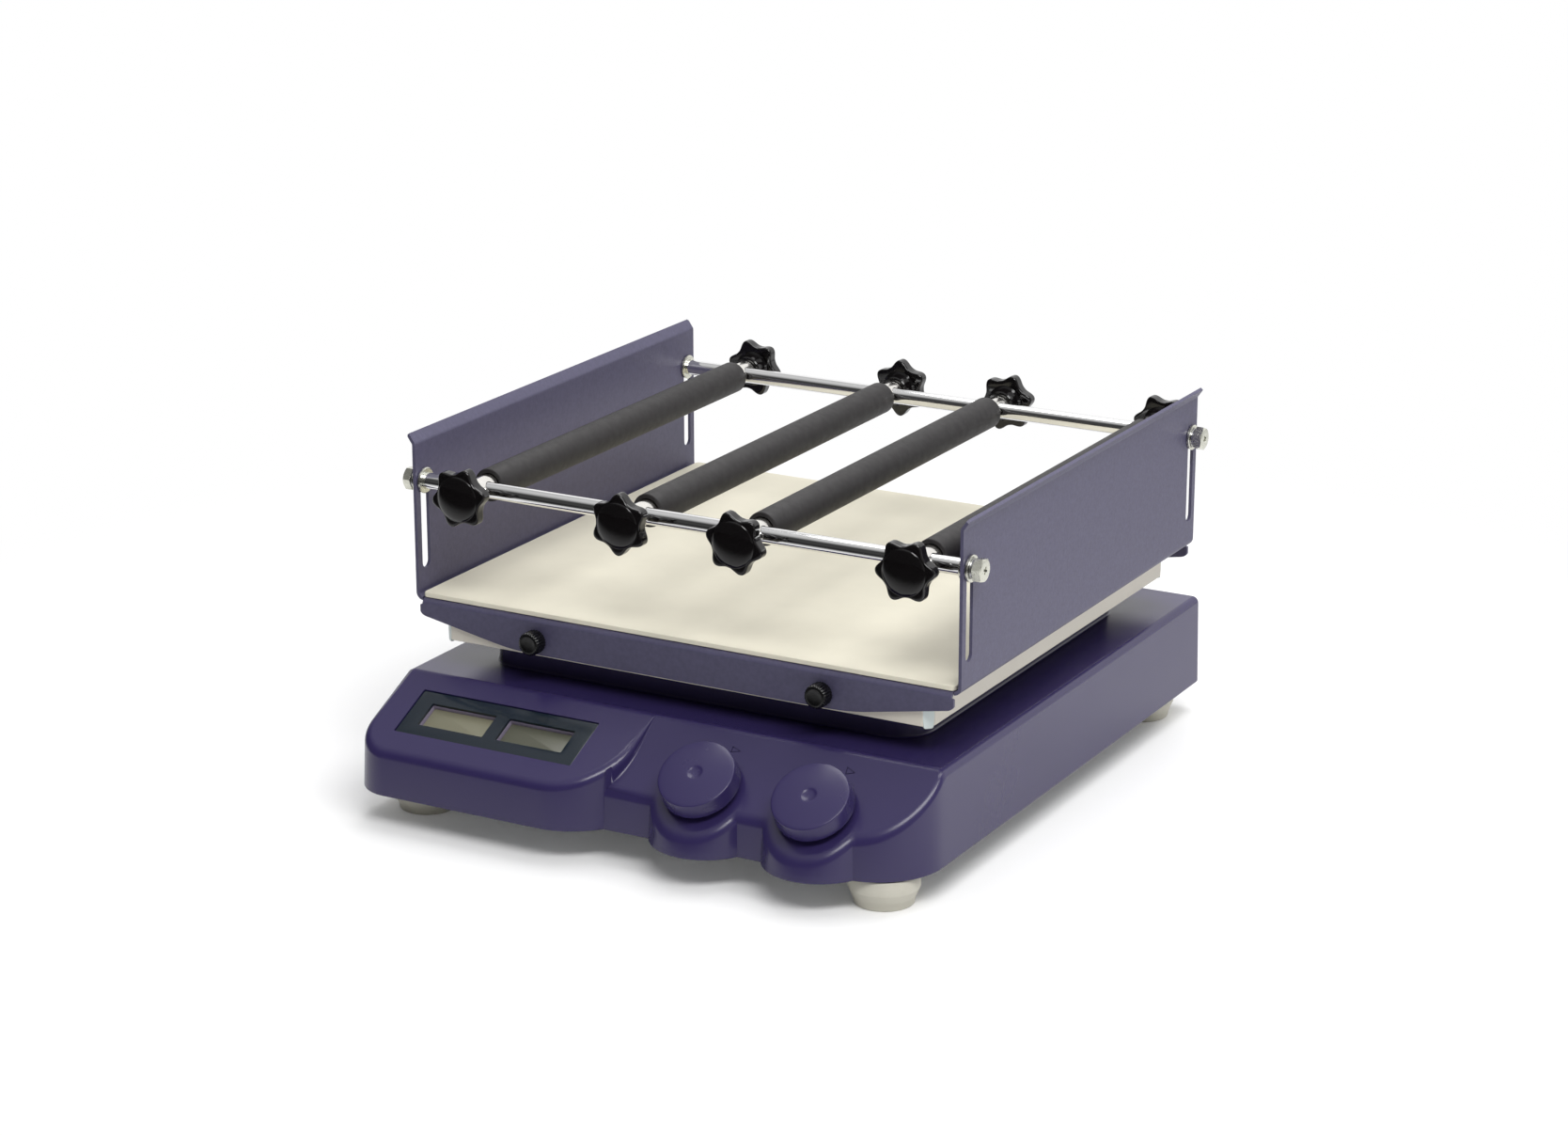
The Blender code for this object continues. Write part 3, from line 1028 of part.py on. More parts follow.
hub_z = GAP + STAR_HUB_LENGTH
top_z = hub_z + STAR_THICK
stud_foot = -(CORE_PAST_ROD - ROD_RADIUS - GAP)
star_rings = [star_ring(hub_z, 1.0, 1.0), star_ring(top_z - 0.0024, 1.0, 1.0)]
star_rings += [star_ring(top_z - 0.0012, 0.84, 0.4), star_ring(top_z, 0.45, 0.0)]
hub_rings = [(STUD_RADIUS, stud_foot), (STUD_RADIUS, GAP)]
hub_rings += [(STAR_HUB_RADIUS, GAP), (STAR_HUB_RADIUS, hub_z + 0.002)]
star = settle(fused("star_knob_front_1", [stack(star_rings), turned(hub_rings, 12)], BLACK))
for n, x in enumerate(BAR_X):
    label = str(n + 1)
    if n:
        core = bpy.data.objects.new("bar_core_" + label, bpy.data.objects["bar_core_1"].data)
        sleeve = bpy.data.objects.new("bar_sleeve_" + label, bpy.data.objects["bar_sleeve_1"].data)
        bpy.context.collection.objects.link(core)
        bpy.context.collection.objects.link(sleeve)
    for piece in (core, sleeve):
        piece.location = (x, TRAY_Y, ROD_Z)
    for end, facing in (("front", -1), ("rear", 1)):
        if n or facing > 0:
            star = bpy.data.objects.new("star_knob_" + end + "_" + label, star.data)
            bpy.context.collection.objects.link(star)
        star.location = (x, TRAY_Y + facing * CORE_HALF, ROD_Z)
        star.rotation_euler = (math.radians(-90.0 * facing), 0.0, 0.0)
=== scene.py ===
# %% [markdown]
# # A bench shaker with a clamp-bar tray
# The machine is a moulded housing with a sloping control panel. A crank inside it carries a
# sheet-metal platform round a small circle, and a tray with rods and foam-covered clamp bars is
# screwed to that platform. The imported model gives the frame: every piece made here is placed from
# its nodes or from the same named sizes, and rides on one of its bodies.

# %% Load the frame
import math

import bmesh
import bpy
from mathutils import Matrix, Vector
from mathutils.geometry import delaunay_2d_cdt


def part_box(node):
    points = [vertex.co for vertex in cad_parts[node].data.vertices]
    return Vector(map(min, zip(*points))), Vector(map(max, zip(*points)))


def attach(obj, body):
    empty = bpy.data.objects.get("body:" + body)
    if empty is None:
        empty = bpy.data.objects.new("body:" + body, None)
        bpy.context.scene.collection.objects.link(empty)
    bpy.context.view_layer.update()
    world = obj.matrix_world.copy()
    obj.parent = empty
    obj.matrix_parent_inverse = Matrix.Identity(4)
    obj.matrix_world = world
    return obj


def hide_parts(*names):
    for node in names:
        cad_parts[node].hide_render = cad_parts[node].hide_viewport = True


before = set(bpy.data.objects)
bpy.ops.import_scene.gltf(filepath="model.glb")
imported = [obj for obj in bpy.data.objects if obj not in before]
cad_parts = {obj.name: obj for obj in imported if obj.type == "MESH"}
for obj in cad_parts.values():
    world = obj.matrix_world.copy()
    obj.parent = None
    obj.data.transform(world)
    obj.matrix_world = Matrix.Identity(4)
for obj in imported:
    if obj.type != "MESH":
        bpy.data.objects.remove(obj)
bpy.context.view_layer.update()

# %% [markdown]
# ## The camera
# The photograph was taken with a long lens from the right and a little above. The place and angle
# were solved from the straight edges of the machine, so the camera comes first and stays fixed.

# %% Camera
lens = bpy.data.cameras.new("view")
lens.sensor_width = 36.0
lens.lens = 85.88
camera = bpy.data.objects.new("camera", lens)
camera.location = (1.0630, -1.93225, 0.8207)
camera.rotation_euler = (math.radians(72.53), 0.0, math.radians(28.95))
bpy.context.scene.collection.objects.link(camera)
bpy.context.scene.camera = camera
print("camera distance:", round(camera.location.length, 3))

# %% [markdown]
# ## Finishes
# Each finish is one Principled shader. Its colour, roughness and bump come from noise on Object
# coordinates, which stay in metres here, so a grain size can be written as it is on the real part.
# A number that is the same everywhere is set on the shader itself. Two small helpers come first:
# one adds a node with its inputs set, the other turns a screen colour into the shader's linear one.

# %% Helpers for nodes and colours


def node(tree, kind, **inputs):
    """A new node with these inputs; an underscore in a name stands for a space."""
    made = tree.nodes.new(kind)
    for key, value in inputs.items():
        made.inputs[key.replace("_", " ")].default_value = value
    return made


def srgb(*colour):
    """A colour as it looks on a screen, 0 to 255, made linear."""
    return tuple(v / 255 / 12.92 if v <= 10 else ((v / 255 + 0.055) / 1.055) ** 2.4 for v in colour)


print("the housing's colour, linear:", [round(v, 4) for v in srgb(49, 41, 84)])

# %% [markdown]
# A real surface is never one flat colour. Faint clouds shift the colour by a few per cent, a second
# noise makes the gloss uneven, and a fine one lifts a grain. Noise stays round one half, so a map
# range node widens its middle to the range that is wanted.

# %% A helper for finishes


def noise(tree, coords, size, detail):
    """Noise whose grains are about size metres across."""
    made = node(tree, "ShaderNodeTexNoise", Scale=1.0 / size, Detail=detail)
    tree.links.new(coords.outputs["Object"], made.inputs["Vector"])
    return made.outputs["Fac"]


def spread(tree, value, low, high):
    """The middle part of a noise, mapped onto a range."""
    made = node(tree, "ShaderNodeMapRange", From_Min=0.3, From_Max=0.7, To_Min=low, To_Max=high)
    tree.links.new(value, made.inputs["Value"])
    return made.outputs[0]


def finish(name, colour, rough, metal=0.0, cloud=0.04, cloud_size=0.05, grain=0.0004, bump=0.0,
           depth=0.00005, rough_spread=0.05):
    """A finish: one colour with faint clouds, uneven gloss and a grain in the surface."""
    material = bpy.data.materials.new(name)
    material.use_nodes = True
    tree = material.node_tree
    shader = tree.nodes["Principled BSDF"]
    shader.inputs["Metallic"].default_value = metal
    coords = node(tree, "ShaderNodeTexCoord")
    mix = node(tree, "ShaderNodeMix")
    mix.data_type = "RGBA"
    mix.inputs[6].default_value = (*[v * (1 - cloud) for v in colour], 1.0)
    mix.inputs[7].default_value = (*[min(1.0, v * (1 + cloud)) for v in colour], 1.0)
    share = spread(tree, noise(tree, coords, cloud_size, 4.0), 0.0, 1.0)
    uneven = noise(tree, coords, cloud_size * 0.4, 5.0)
    gloss = spread(tree, uneven, rough - rough_spread, rough + rough_spread)
    tree.links.new(share, mix.inputs[0])
    tree.links.new(mix.outputs[2], shader.inputs["Base Color"])
    tree.links.new(gloss, shader.inputs["Roughness"])
    if bump:
        push = node(tree, "ShaderNodeBump", Strength=bump, Distance=depth)
        tree.links.new(noise(tree, coords, grain, 2.0), push.inputs["Height"])
        tree.links.new(push.outputs[0], shader.inputs["Normal"])
    return material


print("a grain of 0.4 mm is a noise scale of", round(1 / 0.0004))

# %% [markdown]
# The housing and the knobs are moulded plastic with a satin, finely eroded skin. The tray is steel
# with a powder coat, which dries with a coarser orange peel. The mat and the feet are matt rubber,
# and the star knobs are polished black.

# %% Finishes of the plastics, paints and rubbers
SATIN = dict(cloud=0.02, grain=0.0012, bump=0.07, rough_spread=0.02)
HOUSING = finish("housing_satin", srgb(49, 41, 84), 0.24, **SATIN)
KNOB = finish("knob_satin", srgb(49, 41, 85), 0.26, **SATIN)
POWDER = finish("tray_powder_coat", srgb(80, 77, 103), 0.46, cloud=0.09, cloud_size=0.0028,
                grain=0.0022, bump=0.5, depth=0.00016)
CREAM = finish("platform_paint", srgb(222, 216, 203), 0.42, cloud=0.02, grain=0.0015, bump=0.15)
TAB = finish("corner_tab_paint", srgb(214, 224, 222), 0.40, cloud=0.02, grain=0.0015, bump=0.10)
MAT = finish("mat_rubber", srgb(223, 218, 200), 0.80, cloud=0.025, cloud_size=0.03,
             grain=0.0007, bump=0.35)
FOOT = finish("foot_rubber", srgb(202, 199, 186), 0.55, cloud=0.03, cloud_size=0.01,
              grain=0.0005, bump=0.2)
BLACK = finish("star_knob_black", srgb(13, 11, 12), 0.10, cloud=0.1, cloud_size=0.01,
               grain=0.002, bump=0.05, rough_spread=0.03)
THUMB = finish("thumb_screw_black", srgb(9, 9, 10), 0.24, cloud=0.1, cloud_size=0.01,
               grain=0.001, bump=0.1)
FOAM = finish("sleeve_foam", srgb(31, 28, 29), 0.62, cloud=0.08, cloud_size=0.012,
              grain=0.0004, bump=0.6, depth=0.0001)
PRINT = finish("window_print", srgb(14, 28, 40), 0.14, cloud=0.03, rough_spread=0.01)
GLASS = dict(cloud=0.015, grain=0.0005, bump=0.01, rough_spread=0.01)
# The darker display grey is painted shade: a shaded copy of the display grey, for the right display.
LCD_PAINTED_SHADE = finish("display_grey_painted_shade", srgb(92, 93, 80), 0.30, **GLASS)
LCD = finish("display_grey", srgb(128, 126, 106), 0.30, **GLASS)
WELL = finish("display_well", srgb(140, 130, 152), 0.5, grain=0.0008, bump=0.1)
INLET = finish("inlet_plastic", srgb(26, 26, 28), 0.45, cloud=0.06, cloud_size=0.01,
               grain=0.0006, bump=0.3)
BELT = finish("belt_rubber", srgb(26, 26, 27), 0.7, cloud=0.1, grain=0.0008, bump=0.4)
BOARD = finish("board_lacquer", srgb(30, 92, 54), 0.3, cloud=0.15, cloud_size=0.006,
               grain=0.001, bump=0.2)
print("plastic, paint and rubber finishes:", len(bpy.data.materials))

# %% [markdown]
# The rods and bar cores are chromed and reflect almost like a mirror, the screws are zinc plated
# with a faint yellow passivation, and the drive inside the housing is plain machined metal.

# %% Finishes of the metals
CHROME = finish("rod_chrome", (0.86, 0.86, 0.86), 0.07, 1.0, cloud=0.02, cloud_size=0.03,
                grain=0.004, bump=0.03, rough_spread=0.03)
CORE = finish("bar_core_steel", (0.82, 0.80, 0.76), 0.16, 1.0, cloud=0.03, cloud_size=0.01,
              grain=0.002, bump=0.05)
ZINC = finish("zinc_plate", (0.66, 0.66, 0.58), 0.25, 1.0, cloud=0.10, cloud_size=0.003,
              grain=0.0006, bump=0.15, rough_spread=0.08)
BRUSHED = finish("machined_steel", (0.58, 0.58, 0.60), 0.32, 1.0, cloud=0.05, grain=0.0008,
                 bump=0.2, rough_spread=0.08)
CAST = finish("cast_metal", (0.55, 0.55, 0.56), 0.52, 1.0, cloud=0.08, cloud_size=0.006,
              grain=0.0009, bump=0.5)
GALVANISED = finish("base_plate_zinc", (0.62, 0.63, 0.64), 0.38, 1.0, cloud=0.12,
                    cloud_size=0.012, grain=0.0012, bump=0.15, rough_spread=0.10)
BRASS = finish("blade_brass", (0.78, 0.66, 0.42), 0.25, 1.0, cloud=0.06, cloud_size=0.003)
print("all finishes:", len(bpy.data.materials))

# %% [markdown]
# ## Helpers for shapes
# Every piece starts as lines of points. Arcs and circles cover most of them: a rectangle with round
# corners is four arcs, and a curve with one control point makes the soft knees of the sheet metal.

# %% Lines of points


def arc(cx, cy, radius, start, end, count):
    """Points on an arc, angles in degrees."""
    steps = [math.radians(start + (end - start) * i / count) for i in range(count + 1)]
    return [(cx + radius * math.cos(a), cy + radius * math.sin(a)) for a in steps]


def rounded(width, height, radius, count=6, x=0.0, y=0.0):
    """A rectangle with round corners, counter-clockwise."""
    w, h = width / 2 - radius, height / 2 - radius
    points = []
    for k, (dx, dy) in enumerate(((w, h), (-w, h), (-w, -h), (w, -h))):
        points += arc(x + dx, y + dy, radius, 90 * k, 90 * k + 90, count)
    return points


def circle(radius, z, count=64, x=0.0, y=0.0):
    """A level ring of points."""
    steps = [2 * math.pi * i / count for i in range(count)]
    return [(x + radius * math.cos(a), y + radius * math.sin(a), z) for a in steps]


def knee_curve(start, knee, end, count):
    """Points from start to end on a curve that bends towards the knee."""
    shares = [i / count for i in range(count + 1)]
    return [tuple((1 - s) ** 2 * p + 2 * s * (1 - s) * q + s * s * r
                  for p, q, r in zip(start, knee, end)) for s in shares]


print("points of a circle:", len(circle(1.0, 0.0)))

# %% [markdown]
# Rings of points bridged by faces make a solid. It is built in its own frame and then put in place
# in the mesh itself, so the finished object sits unturned at the origin.

# %% Solids from rings


def bridge(bm, ring_a, ring_b):
    for i in range(len(ring_a)):
        j = (i + 1) % len(ring_a)
        bm.faces.new((ring_a[i], ring_a[j], ring_b[j], ring_b[i]))


def stack(rings, matrix=None, closed=False):
    """A solid from rings of equally many points, capped at its ends or closed round to the first."""
    bm = bmesh.new()
    loops = [[bm.verts.new(p) for p in ring] for ring in rings]
    for lower, upper in zip(loops, loops[1:] + (loops[:1] if closed else [])):
        bridge(bm, lower, upper)
    if not closed:
        bm.faces.new(loops[0][::-1])
        bm.faces.new(loops[-1])
    if matrix is not None:
        bm.transform(matrix)
    return bm


trial = stack([[(x, y, z) for x, y in rounded(1.0, 1.0, 0.2)] for z in (0.0, 1.0)])
print("faces of a trial prism with round corners:", len(trial.faces))
trial.free()

# %% [markdown]
# A turned profile, a tube, a peg, a prism and a prism with rounded edges are all stacks of rings.
# Most pieces of this machine come from one of these five.

# %% Kinds of stacks


def turned(profile, count=64, matrix=None):
    """A turned solid from (radius, height) pairs; a radius of 0 closes it in a point."""
    bm = stack([circle(max(r, 1e-7), z, count) for r, z in profile], matrix)
    bmesh.ops.remove_doubles(bm, verts=bm.verts, dist=1e-6)
    return bm


def tube(profile, count, matrix):
    """A turned ring from a closed profile that stays clear of the axis."""
    return stack([circle(r, z, count) for r, z in profile], matrix, closed=True)


def peg(radius, low, high, x, y):
    """An upright round bar, mostly used to cut a hole."""
    return stack([circle(radius, z, 48, x, y) for z in (low, high)])


def prism(plan, z0, z1, matrix=None):
    return stack([[(x, y, z) for x, y in plan] for z in (z0, z1)], matrix)


def soft_prism(plan_at, z0, z1, edge, steps=4, matrix=None, low_edge=0.0):
    """A prism with rounded top and bottom edges; plan_at(inset) gives its plan."""
    turns = [math.pi / 2 * i / steps for i in range(steps + 1)]
    levels = [(0.0, z0)]
    if low_edge:
        levels = [(low_edge * (1 - math.sin(a)), z0 + low_edge * (1 - math.cos(a))) for a in turns]
    levels += [(edge * (1 - math.cos(a)), z1 - edge * (1 - math.sin(a))) for a in turns]
    return stack([[(x, y, z) for x, y in plan_at(inset)] for inset, z in levels], matrix)


def at(x, y, z, angle=0.0, axis="X"):
    """A place in the machine, with a turn in degrees about one axis."""
    return Matrix.Translation((x, y, z)) @ Matrix.Rotation(math.radians(angle), 4, axis)


print("straight up, after a quarter turn:", at(0, 0, 0, 90.0) @ Vector((0, 0, 1)))

# %% [markdown]
# A bmesh becomes an object that is shaded smooth, with sharp edges where its faces turn. What
# modifiers make of it is turned into a plain mesh at once, so nothing is left to change later.

# %% From points to finished objects


def shade(mesh, angle):
    mesh.shade_smooth()
    mesh.set_sharp_from_angle(angle=math.radians(angle))


def keep(name, bm, *materials, angle=35.0, merge=1e-6):
    """A bmesh as an object in the scene."""
    bmesh.ops.remove_doubles(bm, verts=bm.verts, dist=merge)
    bmesh.ops.recalc_face_normals(bm, faces=bm.faces)
    mesh = bpy.data.meshes.new(name)
    bm.to_mesh(mesh)
    bm.free()
    for material in materials:
        mesh.materials.append(material)
    shade(mesh, angle)
    obj = bpy.data.objects.new(name, mesh)
    bpy.context.scene.collection.objects.link(obj)
    return obj


def bake(obj):
    """Keep what the modifiers make as a plain mesh."""
    bpy.context.view_layer.update()
    graph = bpy.context.evaluated_depsgraph_get()
    mesh = bpy.data.meshes.new_from_object(obj.evaluated_get(graph), depsgraph=graph)
    obj.modifiers.clear()
    obj.data = mesh
    return obj


# %% [markdown]
# Cut-outs use Boolean modifiers, since an opening is best drawn as the tool that would mill it. The
# weighted normals keep large flat faces flat up to their rounded edges. A cross recess comes back on
# three kinds of screw: two crossed slots whose sides lean out, cut one after the other.

# %% Cut, flatten and hand over


def carve(obj, *cutters, join=False, angle=35.0):
    """Cut solids out of obj, or join them to it, and throw the cutters away."""
    tools = [keep("cutter", c) if isinstance(c, bmesh.types.BMesh) else c for c in cutters]
    for tool in tools:
        step = obj.modifiers.new("cut", "BOOLEAN")
        step.operation = "UNION" if join else "DIFFERENCE"
        step.solver = "EXACT"
        step.object = tool
    bake(obj)
    for tool in tools:
        bpy.data.objects.remove(tool, do_unlink=True)
    shade(obj.data, angle)
    return obj


def flatten(obj):
    """Lean the normals to the large faces, so that flat areas stay flat."""
    step = obj.modifiers.new("lean", "WEIGHTED_NORMAL")
    step.keep_sharp = True
    step.weight = 80
    return bake(obj)


def put(obj, body, *nodes):
    """Hand the piece to its body and let it take the place of the plain nodes."""
    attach(obj, body)
    for name in nodes:
        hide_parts(name)
    count = sum(len(p.vertices) - 2 for p in obj.data.polygons)
    print(obj.name, "on", body, "with", count, "triangles")
    return obj


SQUARE = ((-1, -1), (1, -1), (1, 1), (-1, 1))


def recess(screw, place, turns, floor, mouth, angle):
    """Cut slots into a screw; floor and mouth are (half length, half width, height)."""
    for turn in turns:
        rings = [[(sx * a, sy * b, z) for sx, sy in SQUARE] for a, b, z in (floor, mouth)]
        arm = place @ Matrix.Rotation(math.radians(turn), 4, "Z")
        carve(screw, stack(rings, arm), angle=angle)
    return screw


print("corners of a slot:", len(SQUARE))

# %% [markdown]
# ## Measures read from the frame
# The model's boxes give the outer measures, so the finer pieces stay the right size if the model is
# changed. The few that a box does not show, such as the slope of the panel, are written down here.

# %% Measures
cover_low, cover_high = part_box("top_cover")
HALF_WIDTH = (cover_high[0] - cover_low[0]) / 2
NOSE_Y = cover_low[1]
REAR_Y = cover_high[1]
FRONT_Y = NOSE_Y + 0.0174
CREASE_Y = FRONT_Y + 0.0474
HOUSING_BOTTOM = cover_low[2]
PLINTH_TOP = cover_high[2]
DECK_TOP = PLINTH_TOP - 0.020
PLATFORM_SIZE = 0.3325
ORBIT = 0.005
PLINTH_WIDTH = PLATFORM_SIZE - 0.0365
PLINTH_LENGTH = PLATFORM_SIZE - 0.0455
DRIVE_Y = CREASE_Y + 0.032 + PLINTH_LENGTH / 2
TRAY_Y = DRIVE_Y + ORBIT
SHEET = 0.002
GAP = 0.0003
KNOB_TILT = math.radians(36.0)
DISPLAY_TILT = math.radians(25.4)
print("housing", round(2 * HALF_WIDTH, 4), "wide, tray centre at", round(TRAY_Y, 5))

# %% [markdown]
# ## The housing
# On the real machine the cover is one moulding: a flat deck with a raised plinth, a panel that slopes
# to the operator, a raised field for the display with a round free side, and two lobes round the
# knobs. It could be sculpted or built from fillet modifiers, but the edges must run exactly round
# arcs. So the plan is written as one line of arcs, drawn again at every step of the rounded edge,
# and all those lines are triangulated together; each point then gets its height from one rule.

# %% The slope of the panel
EDGE = 0.0045
DRAFT = 0.0012
DISPLAY_LOBE = 0.0445
KNOB_LOBE = 0.034
FRONT_CORNER = 0.042
LEFT_CORNER = 0.025
REAR_CORNER = 0.006
KNOB_X = (HALF_WIDTH - 0.066 - 0.0745, HALF_WIDTH - 0.066)
FIELD_RIGHT = KNOB_X[0] - KNOB_LOBE - 0.017
LOBE_X = FIELD_RIGHT - DISPLAY_LOBE
LOBE_Y = NOSE_Y + DISPLAY_LOBE
CREASE_RADIUS = 0.008


def fall(y, tilt):
    """How far the panel is below the deck, with the crease between them rounded."""
    reach = CREASE_RADIUS * math.tan(tilt / 2)
    u = CREASE_Y - y
    if u <= -reach:
        return 0.0
    if u < reach * math.cos(tilt):
        return CREASE_RADIUS - math.sqrt(CREASE_RADIUS ** 2 - (u + reach) ** 2)
    return u * math.tan(tilt)


print("the panel falls by", round(fall(FRONT_Y, KNOB_TILT), 4), "to its front")

# %% [markdown]
# The plan goes clockwise round the housing. Only one place needs geometry: the right knob lobe cuts
# into the round front corner, and the point where the two circles meet follows from their distance.

# %% The plan of the cover


def cover_plan(inset, low_radius, steps):
    """The plan clockwise from the free side of the display field; each point is (x, y, tilt)."""
    flat = FRONT_Y + inset
    points = []

    def add(cx, cy, radius, start, end, tilt, skip=0):
        for x, y in arc(cx, cy, radius - inset, start, end, steps)[skip:]:
            points.append((x, y, tilt))

    foot = math.degrees(math.asin((flat - LOBE_Y) / (DISPLAY_LOBE - inset)))
    add(LOBE_X, LOBE_Y, DISPLAY_LOBE, foot, -90, DISPLAY_TILT)
    add(-HALF_WIDTH + LEFT_CORNER, NOSE_Y + LEFT_CORNER, LEFT_CORNER, -90, -180, DISPLAY_TILT)
    points.append((-HALF_WIDTH + inset, CREASE_Y, DISPLAY_TILT))
    add(-HALF_WIDTH + REAR_CORNER, REAR_Y - REAR_CORNER, REAR_CORNER, 180, 90, DISPLAY_TILT)
    add(HALF_WIDTH - REAR_CORNER, REAR_Y - REAR_CORNER, REAR_CORNER, 90, 0, KNOB_TILT)
    points.append((HALF_WIDTH - inset, CREASE_Y, KNOB_TILT))
    lobe_y = NOSE_Y + KNOB_LOBE
    radius = KNOB_LOBE - inset
    turn = FRONT_CORNER - inset
    gap = Vector((HALF_WIDTH - FRONT_CORNER - KNOB_X[1], FRONT_Y + FRONT_CORNER - lobe_y))
    along = (gap.length_squared + radius ** 2 - turn ** 2) / (2 * gap.length)
    across = math.sqrt(max(radius ** 2 - along ** 2, 0.0))
    way = gap.normalized()
    meet = Vector((KNOB_X[1], lobe_y)) + way * along + Vector((way.y, -way.x)) * across
    from_x, from_y = meet.x - HALF_WIDTH + FRONT_CORNER, meet.y - FRONT_Y - FRONT_CORNER
    from_turn = math.degrees(math.atan2(from_y, from_x))
    from_lobe = math.degrees(math.atan2(meet.y - lobe_y, meet.x - KNOB_X[1]))
    add(HALF_WIDTH - FRONT_CORNER, FRONT_Y + FRONT_CORNER, FRONT_CORNER, 0, from_turn, KNOB_TILT)
    side = math.degrees(math.asin((flat - lobe_y) / radius))
    add(KNOB_X[1], lobe_y, KNOB_LOBE, from_lobe, -180 - side, KNOB_TILT, 1)
    add(KNOB_X[0], lobe_y, KNOB_LOBE, side, -180 - side, KNOB_TILT)
    points.append((LOBE_X + math.sqrt(low_radius ** 2 - (flat - LOBE_Y) ** 2), flat, KNOB_TILT))
    return points


print("points in one line of the plan:", len(cover_plan(0.0, DISPLAY_LOBE, 16)))

# %% [markdown]
# The form collects points with their heights, and the lines that the faces have to follow. The same
# class draws the outside of the cover and, set in by the wall, the room inside it.

# %% The points and lines of the form


class CoverForm:
    """Heights over the plan: inset and drop set the form in, edge is the radius of its edges."""

    def __init__(self, inset, drop, edge, steps, edge_steps):
        self.inset, self.drop, self.edge, self.steps = inset, drop, edge, steps
        self.turns = [math.pi / 2 * i / edge_steps for i in range(edge_steps + 1)]
        self.field = DISPLAY_LOBE - inset - DRAFT
        self.foot = self.field + 0.0003
        self.spots, self.heights, self.lines = [], [], []

    def plane(self, y, tilt):
        return DECK_TOP - self.drop - fall(y, tilt)

    def step(self, y):
        """How far the display field stands above the plane of the knobs."""
        return self.plane(y, DISPLAY_TILT) - self.plane(y, KNOB_TILT)

    def add(self, x, y, z):
        self.spots.append(Vector((x, y)))
        self.heights.append(z)
        return len(self.spots) - 1

    def chain(self, *rows):
        for row in rows:
            self.lines.extend(zip(row, row[1:]))

    def rounded_edge(self):
        """The outline at every step of its rounded edge, from the wall inwards."""
        plans = [cover_plan(self.inset + DRAFT + self.edge * (1 - math.cos(a)), self.foot, self.steps)
                 for a in self.turns]
        rows = [[self.add(x, y, self.plane(y, tilt) - self.edge * (1 - math.sin(a)))
                 for x, y, tilt in plan] for a, plan in zip(self.turns, plans)]
        self.chain(*rows)
        for outer, inner in zip(rows, rows[1:]):
            self.lines.extend(((outer[0], inner[0]), (outer[-1], inner[-1])))
        self.lines.append((rows[0][-1], rows[0][0]))
        return rows, plans[0][0][1]


print("steps of the rounded edge:", len(CoverForm(0.0, 0.0, EDGE, 16, 7).turns))

# %% [markdown]
# The display field stands above the plane of the knobs, more and more towards the front. Its side
# has a rounded upper edge and a small hollow at its foot, and both shrink to nothing where the two
# planes meet at the crease.

# %% The free side of the display field
RUN = CREASE_Y - LOBE_Y


def stations(first, steps):
    """Places along the free side: round the lobe from an angle, then straight to the crease."""
    places = [(first * (1 - i / steps), 0.0) for i in range(1, steps + 1)]
    return places + [(0.0, RUN * i / 12) for i in range(1, 13)]


def free_side(form, rows, start_y):
    """The rounded upper edge, which gets smaller with the height of the field."""
    sides = [[row[0]] for row in rows]
    for angle, shift in stations(math.degrees(math.asin((start_y - LOBE_Y) / form.field)), form.steps):
        cos_a, sin_a = math.cos(math.radians(angle)), math.sin(math.radians(angle))
        base_y = LOBE_Y + shift
        top = min(form.edge, 0.75 * form.step(base_y + DISPLAY_LOBE * sin_a))
        for side, a in zip(sides, form.turns):
            reach = form.field - top * (1 - math.cos(a))
            x, y = LOBE_X + reach * cos_a, base_y + reach * sin_a
            low = form.plane(y, KNOB_TILT) + 1e-5 * (a > 0)
            side.append(form.add(x, y, max(form.plane(y, DISPLAY_TILT) - top * (1 - math.sin(a)), low)))
    form.chain(*sides)


def hollow_foot(form, corner, hollow=0.0022):
    """The foot of the field's side, with a small hollow where the field is high enough."""
    front = FRONT_Y + form.inset + DRAFT - LOBE_Y
    foot, wells = [corner], [[] for _ in range(4)]
    for angle, shift in stations(math.degrees(math.asin(front / form.foot)), form.steps):
        cos_a, sin_a = math.cos(math.radians(angle)), math.sin(math.radians(angle))
        y_here = LOBE_Y + shift + form.foot * sin_a
        away = max(0.0, min(1.0, (y_here - FRONT_Y - form.inset - DRAFT - form.edge) / 0.006))
        low = min(hollow, 0.22 * form.step(y_here)) * away
        foot.append(form.add(LOBE_X + form.foot * cos_a, y_here, form.plane(y_here, KNOB_TILT) + low))
        if low > 1e-5:
            for k, well in enumerate(wells):
                b = math.pi / 2 * (k + 1) / len(wells)
                reach = form.foot + low * (1 - math.cos(b))
                x, y = LOBE_X + reach * cos_a, LOBE_Y + shift + reach * sin_a
                well.append(form.add(x, y, form.plane(y, KNOB_TILT) + low * (1 - math.sin(b))))
    form.chain(foot, *wells)


print("places along the free side:", len(stations(-30.0, 16)))

# %% [markdown]
# Two more sets of lines are needed: the rows along the rounded crease between deck and panel, and
# the plinth, a steep side with a hollow foot and the same kind of rounded edge on top.

# %% The crease and the plinth


def crease(form):
    reach = CREASE_RADIUS * math.tan(KNOB_TILT / 2)
    end_x = HALF_WIDTH - form.inset - DRAFT - form.edge
    for i in range(9):
        y = CREASE_Y - (-reach + CREASE_RADIUS * math.sin(KNOB_TILT * i / 8))
        left = form.add(-end_x, y, form.plane(y, DISPLAY_TILT))
        form.chain([left, form.add(end_x, y, form.plane(y, KNOB_TILT))])


